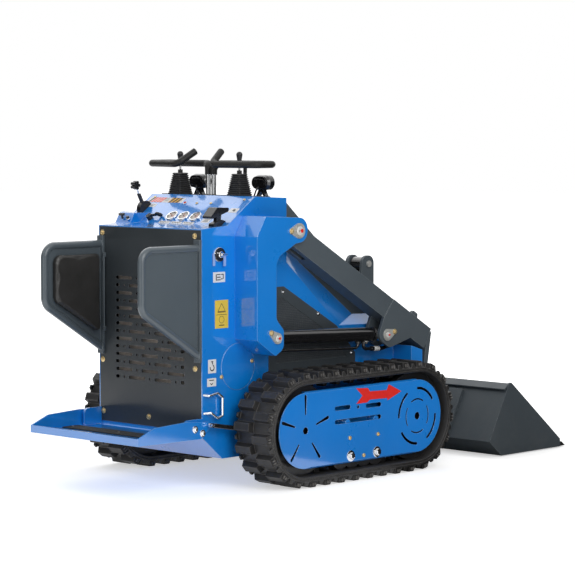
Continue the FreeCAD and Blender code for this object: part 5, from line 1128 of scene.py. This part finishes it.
class LOADER_OT_console_fittings(bpy.types.Operator):
    """Makes the console's dials, lamps, labels, striped decal, knobs and deck mat."""
    bl_idname = "loader.console_fittings"
    bl_label = "Console Fittings"

    def execute(self, context):
        self.dials()
        self.lamps()
        self.stripes()
        self.labels()
        self.knobs()
        self.deck()
        return {"FINISHED"}

    def dials(self):
        """Dial faces with ticks, a red sector, a needle and its hub, under the gauges' rims."""
        for index, y in enumerate((0.045, -0.017, -0.079)):
            parts = [round_on(0.0203, 0.0010, "dial")]
            for step in range(11):
                angle = math.radians(225.0 - 27.0 * step)
                turn = Matrix.Rotation(angle, 4, "Z") @ Matrix.Translation((0.0158, 0.0, 0.0))
                long = 0.0066 if step % 5 == 0 else 0.0046
                parts.append(plate_on(box_outline(long, 0.0016), 0.0003, "ink", 0.0010, 0.0, turn))
            for step in range(4):
                angle = math.radians(-12.0 - 13.0 * step)
                turn = Matrix.Rotation(angle, 4, "Z") @ Matrix.Translation((0.0112, 0.0, 0.0))
                parts.append(plate_on(box_outline(0.0022, 0.0028), 0.0003, "red", 0.0010, 0.0, turn))
            turn = Matrix.Rotation(math.radians(150.0 - 40.0 * index), 4, "Z")
            needle = [(-0.004, -0.0009), (0.0135, -0.0003), (0.0135, 0.0003), (-0.004, 0.0009)]
            parts.append(plate_on(needle, 0.0005, "red", 0.0016, 0.0, turn))
            parts.append(round_on(0.0026, 0.0016, "plastic", 0.0010, 20))
            rim = bar(0.0238, 0.0028, 40, 0.0004)
            pick(rim, lambda f: abs(f.normal.z) > 0.9)
            bpy.ops.mesh.inset(thickness=0.0034)
            bpy.ops.mesh.delete(type="FACE")
            done()
            parts.append(dressed(smooth(applied(rim, "SOLIDIFY", thickness=0.0005)), "chrome"))
            dial = joined("gauge_dial_%d" % (index + 1), parts)
            dial.data.transform(on_slope(0.160, y, 0.0057))
            installed(dial, "chassis")

    def lamps(self):
        """Red warning lamp and two brass screws above the dials."""
        lamp = round_on(0.0052, 0.004, "red_lamp", 0.0015, 20, 0.45)
        collar = round_on(0.0075, 0.002, "chrome")
        lamp = joined("warning_lamp", [lamp, collar])
        lamp.data.transform(on_slope(0.228, 0.049))
        installed(lamp, "chassis")
        places = [on_slope(0.228, -0.013), on_slope(0.230, -0.085), on_slope(0.252, 0.236),
                  on_slope(0.252, -0.236)]
        installed(copies("console_screws", socket_screw(0.0052, "brass"), places), "chassis")

    def stripes(self):
        """Decal of slanting stripes near the console's upper edge: red and white, then yellow and black."""
        width, height, lean = 0.186, 0.030, 0.012
        parts = [plate_on(box_outline(width, height), 0.0004, "white")]

        def stripe(start, wide, finish, low):
            corners = [(start, -height / 2), (start + wide, -height / 2), (start + wide + lean, height / 2),
                       (start + lean, height / 2)]
            parts.append(plate_on(corners, 0.0002, finish, low))

        left = -width / 2
        corners = [(0.018, -height / 2), (0.074, -height / 2), (0.080, height / 2), (0.024, height / 2)]
        parts.append(plate_on(corners, 0.0002, "amber", 0.0004))
        for index in range(3):
            stripe(0.022 + index * 0.019, 0.009, "ink", 0.0006)
        for index in range(5):
            stripe(left + 0.004 + index * 0.015, 0.0095, "red" if index != 0 else "ink", 0.0004)
        for index in range(3):
            parts.append(plate_on(box_outline(0.024, 0.0022, 0.002, 0.007 - index * 0.007), 0.0002, "ink",
                                  0.0004))
        decal = joined("striped_decal", parts)
        decal.data.transform(on_slope(0.240, 0.162))
        installed(decal, "chassis")

    def card(self, width, height, marks, matrix):
        """Small label: rounded film with bars and blocks as (x, y, width, height)."""
        outline = rounded_outline(box_outline(width, height), min(width, height) * 0.08, 3)
        parts = [plate_on(outline, 0.0004, "white")]
        for x, y, wide, high in marks:
            parts.append(plate_on(box_outline(wide, high, x, y), 0.0002, "ink", 0.0004))
        piece = joined("card", parts)
        piece.data.transform(matrix)
        return piece

    def labels(self):
        """White labels on the slope and its foot, with plain bars."""
        parts = []
        for y in (0.060, -0.003, -0.066):
            marks = [(-0.020 + step * 0.0085, 0.0, 0.0052, 0.0050) for step in range(5)]
            parts.append(self.card(0.058, 0.0125, marks, on_slope(0.133, y)))
        marks = [(0.0, 0.008 - row * 0.007, 0.026 - row % 2 * 0.006, 0.0026) for row in range(3)]
        parts.append(self.card(0.040, 0.026, marks, on_slope(0.148, -0.143)))
        marks = [(0.0, 0.002, 0.010, 0.010), (0.006, -0.002, 0.004, 0.012)]
        parts.append(self.card(0.044, 0.026, marks, on_slope(0.200, -0.232)))
        marks = [(0.0, 0.004, 0.018, 0.0024), (0.0, -0.003, 0.014, 0.0024)]
        parts.append(self.card(0.034, 0.020, marks, on_slope(0.212, 0.206)))
        installed(joined("console_labels", parts), "chassis")

    def knobs(self):
        """Choke knob and starter switch on the shelf beside the throttle."""
        face = [facing(spot(0.085, 0.235, 0.958), (-0.3, 0.0, 0.95), (1, 0, 0)),
                facing(spot(0.085, 0.205, 0.956), (-0.3, 0.0, 0.95), (1, 0, 0))]
        stem = round_on(0.0045, 0.014, "plastic")
        grip = rounded(block((-0.014, -0.005, 0.012), (0.014, 0.005, 0.022)), 0.003, 3)
        knob = joined("choke_knob", [stem, dressed(smooth(grip), "plastic")])
        knob.data.transform(face[0])
        installed(knob, "chassis")
        plug = joined("starter_switch", [round_on(0.0085, 0.004, "chrome", 0.0, 12),
                                         round_on(0.006, 0.009, "plastic", 0.004)])
        plug.data.transform(face[1])
        installed(plug, "chassis")

    def deck(self):
        """Thin rubber mat under the levers, and the screws along the deck."""
        corners = box_outline(0.118, 0.470, REAR_X + 0.336, 0.0)
        mat = cutout(rounded_outline(corners, 0.012), 0.0030)
        fall = 0.008 / 0.164
        mat.data.transform(Matrix(((1, 0, 0, 0), (0, 1, 0, 0),
                                   (-fall, 0, 1, 1.0462 + fall * (REAR_X + 0.270)),
                                   (0, 0, 0, 1))))
        dressed(rounded(mat, 0.0008, 2, 50.0), "bellows")
        installed(joined("deck_mat", [mat]), "chassis")
        places = [facing(spot(0.345, y, 1.0452), (0.05, 0.0, 1.0), (0, 1, 0))
                  for y in (-0.216, -0.096, 0.096, 0.216)]
        screws = copies("deck_screws", socket_screw(0.0060, "black_satin"), places)
        installed(screws, "chassis")


# ----------------------------------------------------------------- side panels
class LOADER_OT_side_fittings(bpy.types.Operator):
    """Makes the side panels' switch, labels, pressed access cover and bolts."""
    bl_idname = "loader.side_fittings"
    bl_label = "Side Fittings"

    def execute(self, context):
        self.switch()
        self.labels()
        self.access_cover()
        face = on_right(((0.097, 0.404), (0.252, 0.451), (0.274, 0.484)))
        bolts = copies("side_bolts", hex_bolt(0.0052, "brass"), both_sides(face))
        installed(bolts, "chassis")
        return {"FINISHED"}

    def switch(self):
        """Battery switch: black ring, chrome collar and key, and two tags on a loop."""
        ring = bar(0.0245, 0.009, 40)
        shaped(ring, ("inset", 0.0075), ("pull", -0.004))
        rounded(ring, 0.0014, 2)
        rim = bar(0.0262, 0.004, 40)
        shaped(rim, ("inset", 0.001))
        collar = round_on(0.0125, 0.011, "chrome", 0.003, 28, 0.3)
        key = rounded(block((-0.003, -0.004, 0.012), (0.026, 0.004, 0.019)), 0.0022, 3)
        key = dressed(smooth(key), "chrome")
        parts = [dressed(smooth(ring), "plastic"), dressed(smooth(rounded(rim, 0.001)), "chrome"),
                 collar, key]
        for x, low, high in ((-0.028, -0.040, 0.006), (0.017, -0.042, -0.004)):
            corners = [(x - 0.006, low), (x + 0.006, low), (x + 0.006, high), (x - 0.006, high)]
            parts.append(plate_on(rounded_outline(corners, 0.002), 0.0022, "tag",
                                  0.011 if x > 0 else 0.002, 0.0006))
        points = [(-0.028, 0.004, 0.003), (-0.020, 0.008, 0.008), (-0.008, 0.004, 0.013),
                  (0.004, 0.002, 0.014),
                  (0.017, -0.006, 0.012)]
        parts.append(tube_along(points, 0.0010, "chrome"))
        switch = joined("battery_switch", parts)
        switch.data.transform(facing(spot(0.0855, -BODY_Y, 0.8435), RIGHT))
        installed(switch, "chassis")

    def labels(self):
        """Plain labels down each side panel's rear edge: bars, frames, a hook and a ring."""
        def label(low, high, finish, marks):
            (x0, z0), (x1, z1) = low, high
            corners = [(x0, z0), (x1, z0), (x1, z1), (x0, z1)]
            parts = [plate_on(rounded_outline(corners, 0.0015, 2), 0.0004, finish)]
            for x, z, wide, high_ in marks:
                parts.append(plate_on(box_outline(wide, high_, x, z), 0.0002, "ink", 0.0004))
            return parts

        parts = label((0.056, 0.744), (0.116, 0.781), "white",
                      [(0.0715, 0.762, 0.004, 0.023), (0.084, 0.772, 0.018, 0.0035),
                       (0.084, 0.7625, 0.018, 0.0035),
                       (0.084, 0.753, 0.018, 0.0035), (0.102, 0.772, 0.012, 0.0035),
                       (0.1065, 0.764, 0.0035, 0.016),
                       (0.099, 0.756, 0.009, 0.0035)])
        parts += label((0.0645, 0.579), (0.131, 0.680), "yellow",
                       [(0.098, 0.637, 0.040, 0.0026), (0.098, 0.628, 0.052, 0.0016),
                        (0.098, 0.590, 0.026, 0.0030)])
        corners = [(0.0795, 0.640), (0.1165, 0.640), (0.098, 0.668)]
        for start, end in zip(corners, corners[1:] + corners[:1]):
            parts.append(self.stroke(start, end, 0.0018))
        parts += self.ring((0.098, 0.610), 0.0125, 0.0014, 0, 360)
        parts += label((0.030, 0.421), (0.070, 0.470), "white", [(0.050, 0.462, 0.010, 0.0035)])
        parts += self.ring((0.050, 0.440), 0.010, 0.0042, -200, 70)
        parts.append(self.stroke((0.053, 0.452), (0.050, 0.460), 0.0036))
        parts += label((0.025, 0.3735), (0.070, 0.403), "white",
                       [(0.047, 0.396, 0.024, 0.003), (0.047, 0.381, 0.006, 0.004)])
        parts += self.ring((0.047, 0.388), 0.0065, 0.003, -160, -20)
        right = joined("side_labels_right", parts)
        right.data.transform(facing((REAR_X, -BODY_Y, 0.0), RIGHT))
        left = copies("side_labels_left", right.copy(), [MIRROR])
        for piece in (right, left):
            installed(piece, "chassis")

    def stroke(self, start, end, width):
        """Straight printed line."""
        start, end = Vector(start), Vector(end)
        side = (end - start).orthogonal().normalized() * width / 2
        return plate_on([start - side, end - side, end + side, start + side], 0.0002, "ink", 0.0004)

    def ring(self, middle, radius, width, first, last):
        """Printed arc of short strokes."""
        steps = max(4, int(abs(last - first) / 24))
        middle = Vector(middle)
        points = []
        for step in range(steps + 1):
            angle = math.radians(first + (last - first) * step / steps)
            points.append(middle + Vector((math.cos(angle), math.sin(angle))) * radius)
        return [self.stroke(start, end, width) for start, end in zip(points, points[1:])]

    def access_cover(self):
        """Round cover pressed into each side panel: a shallow dome with a rolled rim."""
        disc = bar(0.086, 0.0007, 56)
        shaped(disc, ("inset", 0.0014), ("move", -0.0005), ("inset", 0.0014), ("move", 0.0004))
        dressed(smooth(disc, 5.0), "blue")
        covers = copies("access_covers", disc, both_sides([facing(spot(0.180, -BODY_Y, 0.436), RIGHT)]))
        installed(covers, "chassis")


# --------------------------------------------------------------------- grilles
class LOADER_OT_grille_mesh(bpy.types.Operator):
    """Makes the woven wire behind each side grille's frame, and the frame's bolts."""
    bl_idname = "loader.grille_mesh"
    bl_label = "Grille Mesh"

    def execute(self, context):
        pitch = context.scene.loader_sizes.mesh_pitch
        window = [(0.346, 0.400), (0.800, 0.400), (0.800, 0.440), (0.700, 0.545), (0.415, 0.705),
                  (0.346, 0.705)]
        face = facing((REAR_X, -BODY_Y + 0.0008, 0.0), RIGHT)
        parts = []
        for axis in (0, 1):
            low, high = min(p[axis] for p in window) + 0.032, max(p[axis] for p in window) - 0.032
            step = pitch * (1.6 if axis == 0 else 1.0)
            for index in range(int((high - low) / step)):
                level = low + step * (index + 0.5)
                span = self.crossing(window, axis, level)
                if span is None:
                    continue
                first, last = span[0] + 0.026, span[1] - 0.026
                if last - first < 0.01:
                    continue
                thick = 0.0011 if axis == 0 else 0.0016
                middle = (first + last) / 2
                centre = (level, middle) if axis == 0 else (middle, level)
                wide, high_ = (thick, last - first) if axis == 0 else (last - first, thick)
                parts.append(plate_on(box_outline(wide, high_, *centre), 0.0016, "wire",
                                      0.0 if axis == 0 else 0.0007))
        mesh = joined("grille_mesh", parts)
        mesh = copies("grille_mesh", mesh, both_sides([face]))
        installed(mesh, "chassis")
        places = on_right(((0.413, 0.693), (0.602, 0.603), (0.786, 0.444)), BODY_Y + 0.003)
        bolts = copies("grille_bolts", hex_bolt(0.0052, "chrome"), both_sides(places))
        installed(bolts, "chassis")
        return {"FINISHED"}

    def crossing(self, outline, axis, level):
        """Where a straight line across the outline goes in and out of it."""
        found = []
        other = 1 - axis
        for start, end in zip(outline, outline[1:] + outline[:1]):
            if (start[axis] - level) * (end[axis] - level) < 0:
                share = (level - start[axis]) / (end[axis] - start[axis])
                found.append(start[other] + (end[other] - start[other]) * share)
        return (min(found), max(found)) if len(found) >= 2 else None


# ------------------------------------------------------------------------ pins
class LOADER_OT_pin_fittings(bpy.types.Operator):
    """Makes the faces, red marks and brass bolts of the pins and their retainer plates."""
    bl_idname = "loader.pin_fittings"
    bl_label = "Pin Fittings"

    def execute(self, context):
        tower = [((0.381, 0.922), (0.338, 0.922), 0.020, 0.391),
                 ((0.267, 0.538), (0.233, 0.560), 0.0145, 0.391)]
        arms = [((0.885, 0.511), (0.923, 0.521), 0.0125, 0.374)]
        for body, name, pins in (("chassis", "tower", tower), ("arms", "arm", arms)):
            parts = [part for pin in pins for part in self.pin(*pin)]
            piece = copies(name + "_pin_faces", joined("pin_faces", parts), [Matrix(), MIRROR])
            installed(piece, body)
        return {"FINISHED"}

    def pin(self, middle, tip, radius, face):
        """Raised rim, polished face, red mark and grease point of a pin, and the bolt at its plate's tip."""
        plate = facing(spot(middle[0], -face, middle[1]), RIGHT)
        rim = bar(radius + 0.0045, 0.0016, 36)
        shaped(rim, ("inset", 0.0035), ("move", -0.0008))
        rim.data.transform(plate)
        parts = [dressed(smooth(rim), "zinc")]
        rounds = ((0.82, 0.0022, "bright", 0.0, 32, 0.25, 0.0), (0.36, 0.0018, "red", 0.0020, 16, 0.3, 0.38),
                  (0.16, 0.0016, "steel", 0.0020, 12, 0.3, -0.28))
        for share, depth, finish, low, vertices, bevel, out in rounds:
            parts.append(round_on(radius * share, depth, finish, low, vertices, bevel,
                                  plate @ Matrix.Translation((radius * out, 0.0, 0.0))))
        bolt = hex_bolt(0.0068, "brass")
        bolt.data.transform(facing(spot(tip[0], -face + 0.001, tip[1]), RIGHT))
        return parts + [bolt]


# ----------------------------------------------------------------------- lamps
class LOADER_OT_work_lamps(bpy.types.Operator):
    """Makes the work lamps' ribbed lenses, black plastic rims, cooling ribs and leads."""
    bl_idname = "loader.work_lamps"
    bl_label = "Work Lamps"

    def execute(self, context):
        ahead, y, z = 0.4335, 0.166, 1.092
        outline = rounded_outline(box_outline(0.078, 0.046), 0.0225, 6)
        lens = cutout(outline, 0.0018)
        shaped(lens, ("inset", 0.004), ("move", 0.0006))
        dressed(smooth(lens), "lens")
        rim = cutout(rounded_outline(box_outline(0.0845, 0.0525), 0.0255, 6), 0.0028)
        shaped(rim, ("inset", 0.0034), ("pull", -0.0022))
        lamp = joined("lamp_front", [lens, dressed(smooth(rim), "plastic")])
        places = [facing(spot(ahead, side * y, z), (1.0, 0.0, 0.0)) for side in (-1.0, 1.0)]
        installed(copies("lamp_lenses", lamp, places), "chassis")
        rib = cutout(rounded_outline(box_outline(0.074, 0.046), 0.022, 6), 0.0018)
        rounded(rib, 0.0005, 1, 50.0)
        rib = dressed(rib, "black_gloss")
        places = [facing(spot(0.3965 + step * 0.0048, side * y, z), (1.0, 0.0, 0.0)) @
                  Matrix.Diagonal((1.0 + 0.03 * step, 1.0 + 0.03 * step, 1.0, 1.0))
                  for side in (-1.0, 1.0) for step in range(5)]
        installed(copies("lamp_ribs", rib, places), "chassis")
        for side, name in ((-1.0, "right"), (1.0, "left")):
            points = [spot(0.402, side * y, 1.080), spot(0.392, side * (y - 0.006), 1.070),
                      spot(0.390, side * (y - 0.012), 1.054), spot(0.394, side * (y - 0.020), 1.044)]
            lead = tube_along(points, 0.0030, "plastic")
            installed(joined("lamp_lead_" + name, [lead]), "chassis")
        return {"FINISHED"}


# ------------------------------------------------------------------ hydraulics
class LOADER_OT_hydraulics(bpy.types.Operator):
    """Makes the cylinders' weld and gland rings, the lift hoses' ferrules and the struts' studs."""
    bl_idname = "loader.hydraulics"
    bl_label = "Hydraulic Fittings"

    def execute(self, context):
        self.lift()
        self.struts()
        return {"FINISHED"}

    def collar(self, name, radius, length, finish, grooves=0):
        """Ring round a barrel, with grooves round it."""
        ring = bar(radius, length, 40)
        rounded(ring, min(0.0012, length * 0.2), 2, 50.0)
        parts = [dressed(smooth(ring), finish)]
        for index in range(grooves):
            low = length * (index + 1) / (grooves + 1)
            parts.append(round_on(radius + 0.0006, 0.0012, "black_satin", low, 40))
        return joined(name, parts)

    def lift(self):
        """Fittings of both lift cylinders."""
        for side in ("right", "left"):
            low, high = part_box("lift_barrel_" + side)
            y = (low.y + high.y) / 2
            base, rod = spot(0.267, y, 0.538), spot(0.885, y, 0.511)
            weld = self.collar("weld", 0.0279, 0.005, "black_gloss")
            weld.data.transform(on_line(base, rod, 0.0, 0.034))
            gland = self.collar("gland", 0.0283, 0.016, "black_gloss", 2)
            gland.data.transform(on_line(base, rod, 1.0, -0.048))
            installed(joined("lift_gland_" + side, [weld, gland]), "lift_barrel_" + side)
            start = rod + (base - rod).normalized() * 0.061
            down = Vector((0.0, 0.0, -1.0))
            port = start + (base - rod).normalized() * 0.02 + down * 0.0245
            nut = hex_bolt(0.0095, "zinc")
            nut.data.transform(facing(port, down, (1.0, 0.0, 0.0)))
            ferrule = self.collar("ferrule", 0.0096, 0.030, "bright", 2)
            ferrule.data.transform(on_line(base, rod, 0.0, high.x - base.x - 0.126))
            ferrule.data.transform(Matrix.Translation(down * 0.054))
            band = joined("lift_ports_" + side, [nut, ferrule])
            installed(band, "lift_barrel_" + side)

    def struts(self):
        """Bright end studs of the platform's gas struts."""
        for side, sign in SIDES:
            ball = rounded(bar(0.0075, 0.006, 20), 0.002, 3)
            ball = dressed(smooth(ball), "bright")
            ball.data.transform(facing(spot(0.210, sign * 0.3085, 0.206), (0.0, sign, 0.0)))
            installed(joined("strut_stud_" + side, [ball]), "chassis")


# ------------------------------------------------------------------- structure
class LOADER_OT_structure(bpy.types.Operator):
    """Makes the wings' edge rods, the platform's bolts and rivets and the bucket's bolt heads."""
    bl_idname = "loader.structure"
    bl_label = "Rods and Bolts"

    def execute(self, context):
        self.wings()
        self.platform()
        self.bucket()
        return {"FINISHED"}

    def wings(self):
        """Rod along the front edge of each wing's sheet."""
        for side, sign in SIDES:
            low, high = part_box("thigh_pad_" + side)
            inner = min(abs(low.y), abs(high.y)) + 0.004
            rod = rounded(bar(0.0036, high.z - low.z - 0.02, 20), 0.001)
            rod.data.transform(Matrix.Translation(Vector((high.x + 0.012, sign * inner, low.z + 0.01))))
            tabs = [rounded(block((high.x + 0.008, sign * inner - 0.004, z),
                                  (high.x + 0.020, sign * inner + 0.004,
                                                                                    z + 0.016)), 0.001)
                    for z in (low.z + 0.006, high.z - 0.022)]
            rod = joined("wing_rod_" + side, [dressed(smooth(rod), "grey")] +
                         [dressed(tab, "grey") for tab in tabs])
            installed(rod, "chassis")

    def platform(self):
        """Bolts through the platform's brackets, and the grip strips' rivets."""
        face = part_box("standing_platform")[0].y
        places = [facing(spot(x, face, z), RIGHT) for x, z in ((-0.049, 0.229), (-0.012, 0.212))]
        bolts = copies("platform_bolts", hex_bolt(0.0085, "chrome"), both_sides(places))
        installed(bolts, "platform")
        _, half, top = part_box("platform_grip_strips")[1]
        rows = (-0.2625, -0.1525)
        places = [Matrix.Translation(spot(x, y, top)) for x in rows for y in (-half + 0.016, 0.0,
                                                                              half - 0.016)]
        rivets = copies("strip_rivets", round_on(0.0045, 0.0012, "steel", 0.0, 16, 0.4), places)
        installed(rivets, "platform")

    def bucket(self):
        """Bolt heads along the cutting edge."""
        low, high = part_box("cutting_edge")
        places = [Matrix.Translation((low.x + 0.030, y, high.z)) for y in (-0.40, -0.24, -0.08, 0.08, 0.24,
                                                                           0.40)]
        heads = round_on(0.010, 0.004, "steel", 0.0, 20, 0.35)
        installed(copies("edge_bolts", heads, places), "bucket")


STEPS = (LOADER_OT_stage, LOADER_OT_finishes, LOADER_OT_tracks, LOADER_OT_thigh_pads,
         LOADER_OT_cover_fittings,
         LOADER_OT_rear_fittings, LOADER_OT_console_fittings, LOADER_OT_side_fittings, LOADER_OT_grille_mesh,
         LOADER_OT_pin_fittings, LOADER_OT_work_lamps, LOADER_OT_hydraulics, LOADER_OT_structure)


class LOADER_PT_sidebar(bpy.types.Panel):
    """Sidebar panel with the loader's steps and settings."""
    bl_idname = "LOADER_PT_sidebar"
    bl_label = "Track Loader"
    bl_space_type = "VIEW_3D"
    bl_region_type = "UI"
    bl_category = "Track Loader"

    def draw(self, context):
        column = self.layout.column(align=True)
        for step in STEPS:
            column.operator(step.bl_idname)
        for group in (context.scene.loader_colours, context.scene.loader_sizes, context.scene.loader_studio):
            box = self.layout.box()
            for name in group.__annotations__:
                box.prop(group, name)


CLASSES = (LoaderColours, LoaderSizes, StudioSettings) + STEPS + (LOADER_PT_sidebar,)


def register():
    """Registers the classes and their settings on the scene."""
    for kind in CLASSES:
        bpy.utils.register_class(kind)
    bpy.types.Scene.loader_colours = bpy.props.PointerProperty(type=LoaderColours)
    bpy.types.Scene.loader_sizes = bpy.props.PointerProperty(type=LoaderSizes)
    bpy.types.Scene.loader_studio = bpy.props.PointerProperty(type=StudioSettings)


def unregister():
    """Takes the settings and classes away again."""
    del bpy.types.Scene.loader_studio
    del bpy.types.Scene.loader_sizes
    del bpy.types.Scene.loader_colours
    for kind in reversed(CLASSES):
        bpy.utils.unregister_class(kind)


def main():
    """Builds the whole model."""
    register()
    for step in STEPS:
        family, action = step.bl_idname.split(".")
        getattr(getattr(bpy.ops, family), action)()


if __name__ == "__main__":
    main()
